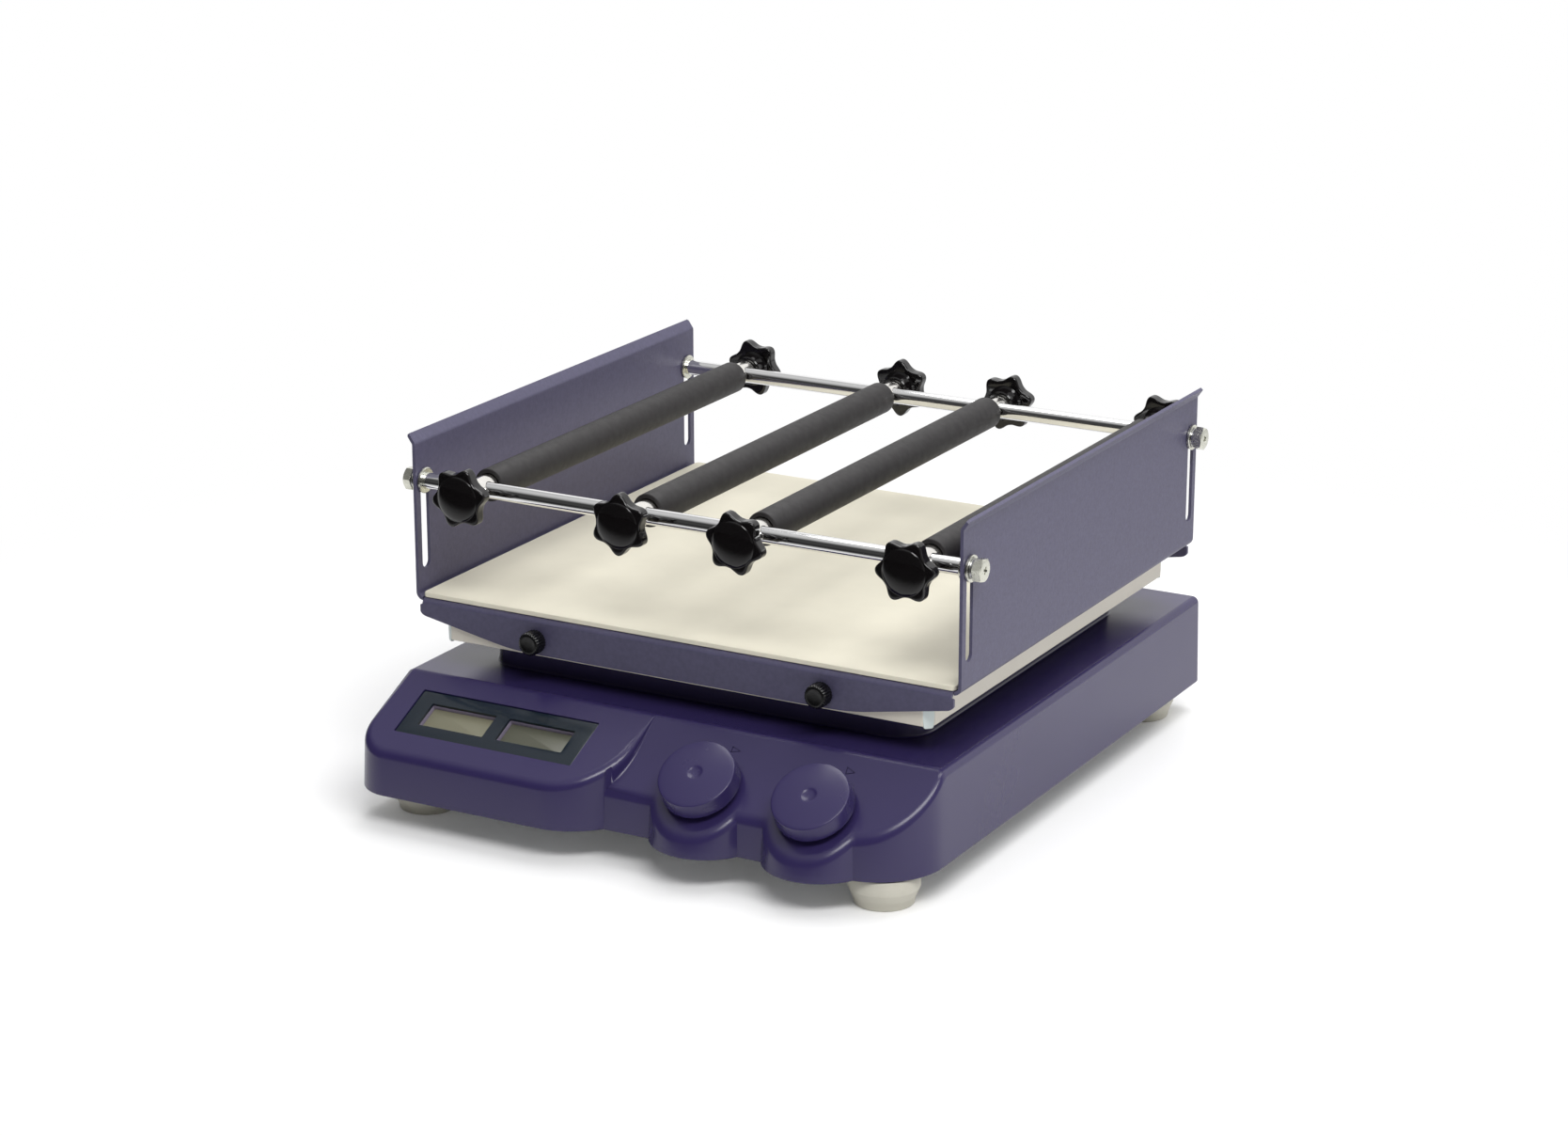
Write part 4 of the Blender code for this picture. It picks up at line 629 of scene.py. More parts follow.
def plinth(form):
    deck, top = DECK_TOP - form.drop, PLINTH_TOP - form.drop
    side = [(-0.0015, deck), (-0.0007, deck + 0.0003), (0.0, deck + 0.0014)]
    side += [(0.001 + form.edge * (1 - math.cos(a)), top - form.edge * (1 - math.sin(a)))
             for a in form.turns]
    for step, z in side:
        size = (PLINTH_WIDTH - 2 * (form.inset + step), PLINTH_LENGTH - 2 * (form.inset + step))
        ring = rounded(*size, 0.022 - form.inset * 0.5 - step, 10, 0.0, DRIVE_Y)
        loop = [form.add(x, y, z) for x, y in ring]
        form.chain(loop + loop[:1])


print("plinth:", round(PLINTH_WIDTH, 4), "by", round(PLINTH_LENGTH, 4))

# %% [markdown]
# A constrained triangulation fills the plan with faces that follow every line. Where lines cross it
# makes new points, and their height comes from the plane below them. Then the walls go down to the
# floor from the outline, and the solid is closed.

# %% Close the form


def cover_form(name, inset, drop, edge, floor, steps=16, edge_steps=7):
    """The outer form of the cover, or the room in it, as one closed solid."""
    form = CoverForm(inset, drop, edge, steps, edge_steps)
    rows, start_y = form.rounded_edge()
    free_side(form, rows, start_y)
    hollow_foot(form, rows[0][-1])
    crease(form)
    plinth(form)
    rim = rows[0]
    points, _, faces, origins, _, _ = delaunay_2d_cdt(form.spots, form.lines, [rim], 1, 1e-7)
    bm = bmesh.new()
    top = []
    for point, origin in zip(points, origins):
        if origin:
            z = max(form.heights[i] for i in origin)
        else:
            tilt = KNOB_TILT if point.x > FIELD_RIGHT - inset - DRAFT else DISPLAY_TILT
            bend = max(0.0, edge - (HALF_WIDTH - inset - DRAFT - abs(point.x)))
            z = form.plane(point.y, tilt) - (edge - math.sqrt(max(edge ** 2 - bend ** 2, 0.0)))
        top.append(bm.verts.new((point.x, point.y, z)))
    where = {i: new for new, origin in enumerate(origins) for i in origin}
    for face in faces:
        bm.faces.new([top[i] for i in face])
    lows = []
    for step, z in ((0.0012, floor), (0.0004, floor + 0.0004), (0.0, floor + 0.0012)):
        plan = cover_plan(inset + step, DISPLAY_LOBE - inset - step + 0.0003, steps)
        lows.append([bm.verts.new((x, y, z)) for x, y, tilt in plan])
    walls = lows + [[top[where[i]] for i in rim]]
    for lower, upper in zip(walls, walls[1:]):
        bridge(bm, lower, upper)
    bm.faces.new(lows[0])
    return keep(name, bm, HOUSING, angle=42.0, merge=2e-6)


cover = cover_form("cover", 0.0, 0.0, EDGE, HOUSING_BOTTOM)
print("cover form:", len(cover.data.polygons), "faces")

# %% [markdown]
# What sits on the panel is placed by how far down the slope it is. A place is a matrix whose Z
# points out of the surface, so a window, a knob and a groove are all drawn as if lying on a table.

# %% Places of the panel and the rear
WALL = 0.003


def panel_place(x, down, tilt):
    """A point of the panel, with local Z out of it and local Y up the slope."""
    y, z = CREASE_Y - down * math.cos(tilt), DECK_TOP - down * math.sin(tilt)
    return Matrix.Translation((x, y, z)) @ Matrix.Rotation(tilt, 4, "X")


WINDOW_WIDTH = FIELD_RIGHT + HALF_WIDTH - 0.0545
WINDOW = panel_place(0.0225 + WINDOW_WIDTH / 2 - HALF_WIDTH, 0.0333, DISPLAY_TILT)
WINDOW_SIZE = (WINDOW_WIDTH, 0.0365)
KNOBS = [panel_place(x, 0.0425, KNOB_TILT) for x in KNOB_X]
ENTRY = at(0.0, REAR_Y, 0.046, -90.0)
INLET_X = HALF_WIDTH - 0.103
SWITCH_X = HALF_WIDTH - 0.051
IDLERS = [(sx * (PLINTH_WIDTH / 2 - 0.030), DRIVE_Y + sy * (PLINTH_LENGTH / 2 - 0.0315))
          for sx in (-1, 1) for sy in (-1, 1)]
print("window", round(WINDOW_WIDTH, 4), "wide; idlers at", [round(v, 4) for v in IDLERS[-1]])

# %% [markdown]
# The small arrowheads over the knobs, which show the way to turn, are thin grooves in the panel. The
# groove is a ring with a rectangular section, drawn round the middle of the arrowhead.

# %% Grooves of the arrowheads
ARROWS = (((50.1, 15.6), (56.4, 13.6), (49.9, 11.2)), ((125.4, 15.5), (131.2, 13.3), (124.8, 10.2)))


def groove(corners):
    """A thin triangular groove; its corners are given in mm across and down the panel."""
    middle_x, middle_down = [sum(c[k] for c in corners) / 3000 for k in (0, 1)]
    plan = [(x / 1000 - middle_x, middle_down - down / 1000) for x, down in corners][::-1]
    section = ((1.0, -0.0007), (1.0, 0.002), (0.74, 0.002), (0.74, -0.0007))
    rings = [[(x * share, y * share, z) for x, y in plan] for share, z in section]
    return stack(rings, panel_place(middle_x, middle_down, KNOB_TILT), closed=True)


print("arrowheads:", len(ARROWS))

# %% [markdown]
# The room inside is the same form, 3 mm in from every side, cut out of the solid. The openings for
# the window, the mains parts, the knob shafts and the crank shafts follow, each one a plain tool.

# %% Hollow the cover and open it
carve(cover, cover_form("room", WALL, WALL / math.cos(KNOB_TILT), 0.0015, HOUSING_BOTTOM - 0.004, 6, 3))
WIDE, HIGH = WINDOW_SIZE
cutters = [prism(rounded(WIDE + 0.0006, HIGH + 0.0006, 0.0012), -0.0026, 0.004, WINDOW),
           prism(rounded(WIDE - 0.007, HIGH - 0.007, 0.001), -0.012, 0.001, WINDOW),
           prism(rounded(0.0286, 0.0211, 0.0025, 6, INLET_X), -0.012, 0.004, ENTRY),
           prism(rounded(0.0231, 0.0171, 0.001, 3, SWITCH_X), -0.012, 0.004, ENTRY)]
cutters += [turned([(0.0048, -0.010), (0.0048, 0.005)], 48, place) for place in KNOBS]
cutters += [peg(radius, PLINTH_TOP - 0.012, PLINTH_TOP + 0.004, x, y)
            for radius, x, y in [(0.0065, *spot) for spot in IDLERS] + [(0.0075, 0, DRIVE_Y)]]
cutters += [groove(corners) for corners in ARROWS]
carve(cover, *cutters, angle=42.0)
flatten(cover)
put(cover, "base", "top_cover")

# %% [markdown]
# ## The display
# A dark printed pane lies flush in its recess, and two clear cells are left in the print.

# %% Window pane
CELL_PLACES = (-0.0277, 0.0275)
CELL_DOWN = -0.0002
CELL_WIDE, CELL_HIGH = 0.0460, 0.0187
form = soft_prism(lambda e: rounded(WIDE - 2 * e, HIGH - 2 * e, 0.0012 - e * 0.5),
                  -0.0023, -0.0006, 0.0002, 3, WINDOW)
pane = keep("window_pane", form, PRINT)
for x in CELL_PLACES:
    carve(pane, prism(rounded(CELL_WIDE, CELL_HIGH, 0.0006, 4, x, CELL_DOWN), -0.01, 0.01, WINDOW))
put(pane, "base", "display_window")

# %% [markdown]
# Behind the cells sit two blank grey displays, a little deeper than the pane, in pale moulded wells
# whose walls catch the light at the left. Nothing is shown on them: the machine is switched off.
# The right display gets a darker grey than the left. This is painted shade for the reflection that
# dims it.

# %% Displays
block = prism(rounded(WIDE - 0.0076, HIGH - 0.0076, 0.001), -0.0086, -0.0026, WINDOW)
module = keep("display_module", block, WELL)
for x in CELL_PLACES:
    plan = rounded(CELL_WIDE - 0.0006, CELL_HIGH - 0.0006, 0.0006, 4, x, CELL_DOWN)
    carve(module, prism(plan, -0.0056, 0.001, WINDOW))
put(module, "base", "display_module")
FACE_WIDE, FACE_HIGH = CELL_WIDE - 0.0009, CELL_HIGH - 0.0009
# The right display takes the darker grey, which is painted shade.
for index, (x, grey) in enumerate(zip(CELL_PLACES, (LCD, LCD_PAINTED_SHADE)), 1):
    face = soft_prism(lambda e: rounded(FACE_WIDE - 2 * e, FACE_HIGH - 2 * e, 0.0005, 4, x, CELL_DOWN),
                      -0.0058, -0.0046, 0.0002, 2, WINDOW)
    put(keep("display_face_" + str(index), face, grey), "base")

# %% [markdown]
# ## The two knobs
# Each is a broad cap with a slightly domed face, a small finger dimple in the middle and a side that
# widens to the foot. It is one turned profile: the edges get real roundings, because they carry the
# bright lines that make moulded plastic look moulded. Underneath it is hollow round the socket that
# the shaft goes into, as a moulded knob is, and the same profile draws that too.

# %% Knobs
KNOB_FOOT = 0.0040
KNOB_TOP = 0.0145


def knob_profile():
    """(radius, height) from the top of the shaft's socket, round the rim, to the dimple."""
    foot, top = KNOB_FOOT, KNOB_TOP
    profile = [(0.0, top - 0.0037), (0.0031, top - 0.0037), (0.0033, top - 0.0039),
               (0.0033, foot + 0.0005), (0.0036, foot + 0.0002), (0.0058, foot + 0.0002),
               (0.0060, foot + 0.0004), (0.0060, top - 0.0034), (0.0064, top - 0.0030),
               (0.0193, top - 0.0030), (0.0197, top - 0.0034), (0.0197, foot + 0.0008),
               (0.0199, foot + 0.0006), (0.0225, foot + 0.0006), (0.0228, foot)]
    profile += arc(0.0237, foot + 0.0005, 0.0005, -90, 0, 4)
    profile += [(0.0238, foot + 0.003), (0.02335, top - 0.0014)]
    profile += arc(0.0224, top - 0.0011, 0.0009, 10, 78, 6)
    for r in (0.0215, 0.0200, 0.0180, 0.0150, 0.0120, 0.0090, 0.0070, 0.0058):
        profile.append((r, top - 0.0001 + 0.0017 * (1 - (r / 0.0224) ** 2)))
    dimple = ((0.0049, 0.0), (0.0044, 0.0001), (0.0040, 0.0003), (0.0033, 0.00055),
              (0.0024, 0.00075), (0.0012, 0.00088), (0.0, 0.00092))
    return profile + [(r, top + 0.0015 - deep) for r, deep in dimple]


for side, place in zip(("speed", "time"), KNOBS):
    cap = keep(side + "_cap", turned(knob_profile(), 128, place), KNOB, angle=38.0)
    put(cap, side + "_knob", side + "_knob")

# %% [markdown]
# ## The tray
# The tray is one sheet of 2 mm steel: two sides are folded up and get a lip that leans out, and the
# front and back are folded down as aprons. A real tray starts as a flat blank, so this one does too.
# On the blank, u runs across and v along the machine, and each bend takes up the length of its arc.

# %% Sizes of the sheet
WALL_X = 0.1854
HALF_LENGTH = PLATFORM_SIZE / 2 + GAP
PAN_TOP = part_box("platform")[1][2]
FLOOR_Z = PAN_TOP + GAP
WALL_TOP = 0.215
LIP_LEAN = math.radians(35.0)
BEND, APRON_BEND, LIP_BEND = 0.004, 0.003, 0.0025
FOLD_U = WALL_X - SHEET / 2 - BEND
FOLD_V = PLATFORM_SIZE / 2 + GAP + SHEET / 2 - APRON_BEND
MID_Z = FLOOR_Z + SHEET / 2
WALL_U = FOLD_U + BEND * math.pi / 2
LIP_START = WALL_U + (WALL_TOP - 0.0008) - (MID_Z + BEND)
LIP_END = LIP_START + LIP_BEND * LIP_LEAN + 0.0062
APRON_V = FOLD_V + APRON_BEND * math.pi / 2
APRON_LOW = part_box("tray")[0][2]
print("tray walls at", WALL_X, "floor at", round(FLOOR_Z, 5))

# %% [markdown]
# Folding is a function that carries each point of the blank round its bend, with t as its height
# over the middle of the sheet. So the sheet keeps its thickness round every bend.

# %% Fold the sheet


def bend(run, start, radius, full):
    """Where a run along the sheet goes at a bend: (along, up, angle) from the bend's start."""
    a = max(0.0, min((run - start) / radius, full))
    rest = max(0.0, run - start - radius * full)
    along = min(run, start) + radius * math.sin(a) + rest * math.cos(a)
    return along, radius * (1 - math.cos(a)) + rest * math.sin(a), a


def fold(u, v, t):
    """A point of the blank, t above the middle of the sheet, in its folded place."""
    past = abs(u) < FOLD_U - 0.0002 or abs(v) > HALF_LENGTH + 0.0008
    if abs(v) > FOLD_V and abs(u) < FOLD_U + 0.0012 and past:
        along, up, a = bend(abs(v), FOLD_V, APRON_BEND, math.pi / 2)
        return u, TRAY_Y + math.copysign(along + t * math.sin(a), v), MID_Z - up + t * math.cos(a)
    along, up, a = bend(abs(u), FOLD_U, BEND, math.pi / 2)
    if abs(u) <= LIP_START:
        x, z = along - t * math.sin(a), MID_Z + up + t * math.cos(a)
    else:
        out, more, b = bend(abs(u) - LIP_START, 0.0, LIP_BEND, LIP_LEAN)
        x = WALL_X - SHEET / 2 + more - t * math.cos(b)
        z = MID_Z + BEND + LIP_START - WALL_U + out + t * math.sin(b)
    return math.copysign(x, u), TRAY_Y + v, z


def apron_v(z):
    """Where a height on the apron is on the flat blank."""
    return APRON_V + MID_Z - APRON_BEND - z


def wall_u(z):
    """Where a height on the wall is on the flat blank."""
    return WALL_U + z - MID_Z - BEND


print("top of the lip:", [round(v, 4) for v in fold(LIP_END, 0.0, 0.0)])

# %% [markdown]
# A quarter of the blank's outline is drawn and mirrored. At the corner a small relief parts the wall
# from the apron, as a press needs it. The apron gets shallower to its ends, with a soft corner.

# %% The outline of the blank
APRON_END = 0.1815
low_end = (APRON_END - 0.006, apron_v(0.1072))
knee = (APRON_END - 0.067, apron_v(APRON_LOW))
slope_v = knee[1] + (low_end[1] - knee[1]) * 0.014 / (low_end[0] - knee[0])
quarter = [(LIP_END, HALF_LENGTH - 0.0012), (LIP_END - 0.0012, HALF_LENGTH),
           (FOLD_U + 0.0004, HALF_LENGTH), (FOLD_U + 0.0004, FOLD_V - 0.0006),
           (FOLD_U - 0.0004, FOLD_V - 0.0006), (FOLD_U - 0.0004, APRON_V - 0.0005),
           (APRON_END, APRON_V + 0.0001)]
quarter += knee_curve((APRON_END, apron_v(0.1103)), (APRON_END - 0.001, apron_v(0.1078)), low_end, 8)
quarter += knee_curve((knee[0] + 0.014, slope_v), knee, (knee[0] - 0.014, knee[1]), 6)
blank = quarter + [(-u, v) for u, v in quarter[::-1]]
blank += [(-u, -v) for u, v in quarter] + [(u, -v) for u, v in quarter[::-1]]
print("flat blank", round(2 * LIP_END, 4), "by", round(2 * knee[1], 4))

# %% [markdown]
# The walls get two upright slots each for the rods and the aprons two holes each for the thumb
# screws. Lines across the bends tell the triangulation where the sheet has to be able to turn.

# %% Slots, holes and bend lines
ROD_Z = 0.1905
ROD_OFFSET = HALF_LENGTH - 0.009
SLOT = 0.0083
THUMB_X = WALL_X - 0.0879
THUMB_Z = 0.105
ENDS = (-1, 1)
holes, lines = [], []
for side in ENDS:
    for end in ENDS:
        low, high = wall_u(ROD_Z - 0.0513), wall_u(ROD_Z + GAP)
        slot = arc(high, ROD_OFFSET, SLOT / 2, -90, 90, 12) + arc(low, ROD_OFFSET, SLOT / 2, 90, 270, 12)
        screw = arc(THUMB_X, apron_v(THUMB_Z), 0.0028, 0, 345, 23)
        holes += [[(side * u, end * v) for u, v in ring] for ring in (slot, screw)]
for i in range(9):
    u, v = FOLD_U + (WALL_U - FOLD_U) * i / 8, FOLD_V + (APRON_V - FOLD_V) * i / 8
    if i:
        lines += [((s * u, -HALF_LENGTH), (s * u, HALF_LENGTH)) for s in ENDS]
    if i < 8:
        lines += [((-FOLD_U + 0.0004, s * v), (FOLD_U - 0.0004, s * v)) for s in ENDS]
lines += [((s * FOLD_U, -FOLD_V + 0.0006), (s * FOLD_U, FOLD_V - 0.0006)) for s in ENDS]
for i in range(5):
    u = LIP_START + LIP_BEND * LIP_LEAN * i / 4
    lines += [((s * u, -HALF_LENGTH), (s * u, HALF_LENGTH)) for s in ENDS]
print("holes:", len(holes), "bend lines:", len(lines))

# %% [markdown]
# The blank is filled with faces, both sides of the sheet are folded, and the rim between them is
# closed. A small bevel then rounds its edges, as the thickness of the paint does.

# %% The folded tray


def inside(point, ring):
    """True where a point of the blank lies inside a closed ring."""
    x, y = point
    hit = False
    for (x0, y0), (x1, y1) in zip(ring, ring[1:] + ring[:1]):
        if (y0 > y) != (y1 > y) and x < (x1 - x0) * (y - y0) / (y1 - y0) + x0:
            hit = not hit
    return hit


def folded(name, material):
    """The blank with its holes as a folded sheet of even thickness."""
    points, edges = [], []
    for ring in [blank] + holes:
        first = len(points)
        points += [Vector(p) for p in ring]
        edges += [(first + i, first + (i + 1) % len(ring)) for i in range(len(ring))]
    for a, b in lines:
        points += [Vector(a), Vector(b)]
        edges.append((len(points) - 2, len(points) - 1))
    outline = list(range(len(blank)))[::-1]
    flat, _, faces, _, _, _ = delaunay_2d_cdt(points, edges, [outline], 0, 1e-7)
    bm = bmesh.new()
    upper, lower = [[bm.verts.new(fold(p.x, p.y, t)) for p in flat] for t in (SHEET / 2, -SHEET / 2)]
    rim = {}
    for face in faces:
        middle = sum((flat[i] for i in face), Vector((0, 0))) / len(face)
        if not inside(middle, blank) or any(inside(middle, ring) for ring in holes):
            continue
        bm.faces.new([upper[i] for i in face])
        bm.faces.new([lower[i] for i in face][::-1])
        rim.update(dict.fromkeys(zip(face, face[1:] + face[:1])))
    for a, b in rim:
        if (b, a) not in rim:
            bm.faces.new((upper[b], upper[a], lower[a], lower[b]))
    bmesh.ops.delete(bm, geom=[v for v in bm.verts if not v.link_faces], context="VERTS")
    return keep(name, bm, material, angle=40.0)


def soften(obj, width, segments=2):
    """Round the sharp edges of a piece a little, as paint and wear do."""
    step = obj.modifiers.new("soften", "BEVEL")
    step.width = width
    step.segments = segments
    step.limit_method = "ANGLE"
    step.angle_limit = math.radians(50.0)
    step.use_clamp_overlap = True
    step.harden_normals = False
    shade(bake(obj).data, 40.0)
    return flatten(obj)


put(soften(folded("tray_sheet", POWDER), 0.0004), "platform", "tray")

# %% [markdown]
# ## Mat and platform
# The mat is a loose sheet of pale rubber with softly worn edges, as wide as the tray's floor. It is
# a prism with a small rounding below and a larger one on top.

# %% Mat
(_, _, MAT_LOW), (MAT_HALF, _, MAT_HIGH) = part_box("mat")
MAT_LONG = HALF_LENGTH * 2 - 0.001
form = soft_prism(lambda e: rounded(MAT_HALF * 2 - 2 * e, MAT_LONG - 2 * e, 0.003 - e, 6, 0, TRAY_Y),
                  MAT_LOW, MAT_HIGH, 0.0006, 4, low_edge=0.0004)
put(flatten(keep("mat_sheet", form, MAT)), "platform", "mat")

# %% [markdown]
# The platform under the tray is a shallow pan: a plate with its edges folded down and its corners
# cut at 45 degrees. Its rings run down the inside, round the edge and up to the rounded top. Under
# it the bosses take the pins of the main crank and of the four idlers.

# %% Platform
PAN_LOW = PAN_TOP - 0.022
CHAMFER = 0.0057
HUB_LOW = PLINTH_TOP + 0.0013 + 0.005 + GAP
PIN_TOP = PLINTH_TOP + 0.0013 + 0.005 + 0.0085


def octagon(inset, z):
    """The pan's outline, set in by the same distance on all eight sides."""
    h = PLATFORM_SIZE / 2 - inset
    c = PLATFORM_SIZE / 2 - CHAMFER - inset * (math.sqrt(2) - 1)
    corners = ((h, -c), (h, c), (c, h), (-c, h), (-h, c), (-h, -c), (-c, -h), (c, -h))
    return [(x, y + TRAY_Y, z) for x, y in corners]


section = [(SHEET + 0.001, PAN_TOP - SHEET), (SHEET, PAN_TOP - SHEET - 0.001), (SHEET, PAN_LOW + 0.0003),
           (SHEET - 0.0003, PAN_LOW), (0.0003, PAN_LOW), (0.0, PAN_LOW + 0.0003)]
turns = [math.pi / 2 * i / 6 for i in range(7)]
section += [(0.003 * (1 - math.cos(a)), PAN_TOP - 0.003 * (1 - math.sin(a))) for a in turns]
pan = keep("platform_pan", stack([octagon(*step) for step in section]), CREAM, angle=30.0)
HUBS = [(0.0, TRAY_Y, 0.016, 0.0113)] + [(x, y + ORBIT, 0.010, 0.0043) for x, y in IDLERS]
for x, y, outer, bore in HUBS:
    side = ((outer - 0.0005, HUB_LOW), (outer, HUB_LOW + 0.0005), (outer, PAN_TOP - SHEET - 0.001),
            (outer + 0.001, PAN_TOP - SHEET * 0.7))
    carve(pan, stack([circle(r, z, 48, x, y) for r, z in side]), join=True, angle=30.0)
for x, y, outer, bore in HUBS:
    carve(pan, peg(bore, HUB_LOW - 0.002, PIN_TOP + 0.0008, x, y), angle=30.0)
for sx in ENDS:
    across = at(sx * THUMB_X, TRAY_Y, THUMB_Z, -90.0)
    carve(pan, turned([(0.0028, -0.19), (0.0028, 0.19)], 24, across), angle=30.0)
put(flatten(pan), "platform", "platform")

# %% [markdown]
# Four short tabs, paler than the pan, close its open corners at 45 degrees. Each is a small plate
# with a tapered foot, drawn flat and stood up by a matrix that swaps the axes.

# %% Corner tabs
SPOT = PLATFORM_SIZE / 2 - CHAMFER / 2
STAND = Matrix(((0, 0, 1, 0), (1, 0, 0, 0), (0, 1, 0, 0), (0, 0, 0, 1)))
half = math.sqrt(2) * CHAMFER * 0.43
low, high = -(PAN_TOP - 0.0035), -(PAN_LOW - 0.0015)
reach = half * 0.86 - 0.0012
plan = [(-half, low), (half, low), (half, high - 0.006)]
plan += arc(reach, high - 0.0012, 0.0012, 0, 90, 5) + arc(-reach, high - 0.0012, 0.0012, 90, 180, 5)
plan = [(x, -y) for x, y in plan + [(-half, high - 0.006)]]
for i, (sx, sy) in enumerate(((-1, -1), (1, -1), (1, 1), (-1, 1)), 1):
    place = at(sx * SPOT, TRAY_Y + sy * SPOT, 0.0) @ Matrix.Rotation(math.atan2(sy, sx), 4, "Z") @ STAND
    tab = keep("corner_tab_" + str(i), prism(plan, -0.0017, 0.0004, place), TAB)
    put(soften(tab, 0.0002), "platform")

# %% [markdown]
# ## Rods and clamp bars
# Two chromed rods run between the slotted walls and are clamped there by screws. A collar inside and
# a washer stack outside grip the wall. All of them are turned profiles with small bevels, since a
# chromed edge without one looks cut out.

# %% Rods
ROD_END = WALL_X - SHEET - GAP
for label, sy in (("front", -1), ("rear", 1)):
    place = at(0.0, TRAY_Y + sy * ROD_OFFSET, ROD_Z, 90.0, "Y")
    half = [(0.0050, ROD_END - 0.0004), (0.0041, ROD_END - 0.0002), (0.0038, ROD_END + GAP),
            (0.0038, WALL_X - 0.0002), (0.0030, WALL_X)]
    profile = [(r, -z) for r, z in half[::-1]] + half
    rod = keep("clamp_rod_" + label, turned(profile, 64, place), CHROME, angle=30.0)
    put(rod, "rods", "rod_" + label)
    for side, sx in (("_left", -1), ("_right", 1)):
        collar = ((0.0051, -0.0016), (0.0074, -0.0016), (0.0080, -0.0011), (0.0080, -0.0002),
                  (0.0077, 0.0), (0.0051, 0.0))
        ring = tube([(r, sx * (ROD_END + z)) for r, z in collar], 64, place)
        put(keep("rod_collar_" + label + side, ring, ZINC, angle=30.0), "rods")

# %% [markdown]
# Four bars lie over the tray and slide on the rods. Each has a steel core with a cross hole and a
# threaded end for every rod, and a foam sleeve between them that holds the vessels.

# %% Bars
BAR_X = [share * WALL_X for share in (-0.7686, -0.1672, 0.2508, 0.8441)]
CORE_HALF = ROD_OFFSET + 0.0098
SLEEVE_HALF = ROD_OFFSET - 0.009
SLEEVE, BORE = 0.0103, 0.00755
tip = [(0.00625, CORE_HALF), (0.00685, CORE_HALF - 0.00015), (0.00725, CORE_HALF - 0.0008)]
lip = [(BORE, SLEEVE_HALF - 0.0004), (BORE + 0.0003, SLEEVE_HALF), (SLEEVE - 0.0008, SLEEVE_HALF),
       (SLEEVE - 0.0002, SLEEVE_HALF - 0.0003), (SLEEVE, SLEEVE_HALF - 0.0010)]
skin = lip + [(SLEEVE, z * SLEEVE_HALF / 8) for z in range(7, -8, -1)] + [(r, -z) for r, z in lip[::-1]]
for n, x in enumerate(BAR_X, 1):
    place = at(x, TRAY_Y, ROD_Z, -90.0)
    profile = [(r, -z) for r, z in tip] + tip[::-1]
    core = keep("bar_core_steel_" + str(n), turned(profile, 64, place), CORE, angle=30.0)
    for sy in ENDS:
        across = at(x, TRAY_Y + sy * ROD_OFFSET, ROD_Z, 90.0, "Y")
        carve(core, turned([(0.0053, -0.02), (0.0053, 0.02)], 48, across), angle=30.0)
        start, end = sorted((sy * ROD_OFFSET, sy * (CORE_HALF + 0.003)))
        carve(core, turned([(0.0033, start), (0.0033, end)], 32, place), angle=30.0)
    put(core, "bar_" + str(n), "bar_core_" + str(n))
    sleeve = keep("foam_sleeve_" + str(n), tube(skin, 48, place), FOAM, angle=50.0)
    put(sleeve, "bar_" + str(n), "bar_sleeve_" + str(n))

# %% [markdown]
# ## Star knobs, by rule
# A star knob is a round form with one rule: six lobes ride on a circle, full at the side and gone at
# the domed disc on top. It could be modelled by hand once and copied. A geometry node tree says the
# rule itself: a grid is rolled round the axis, three curves give the side view, and a cosine gives
# the lobes. Its named inputs are the sizes that a maker would give.

# %% A helper that writes node trees


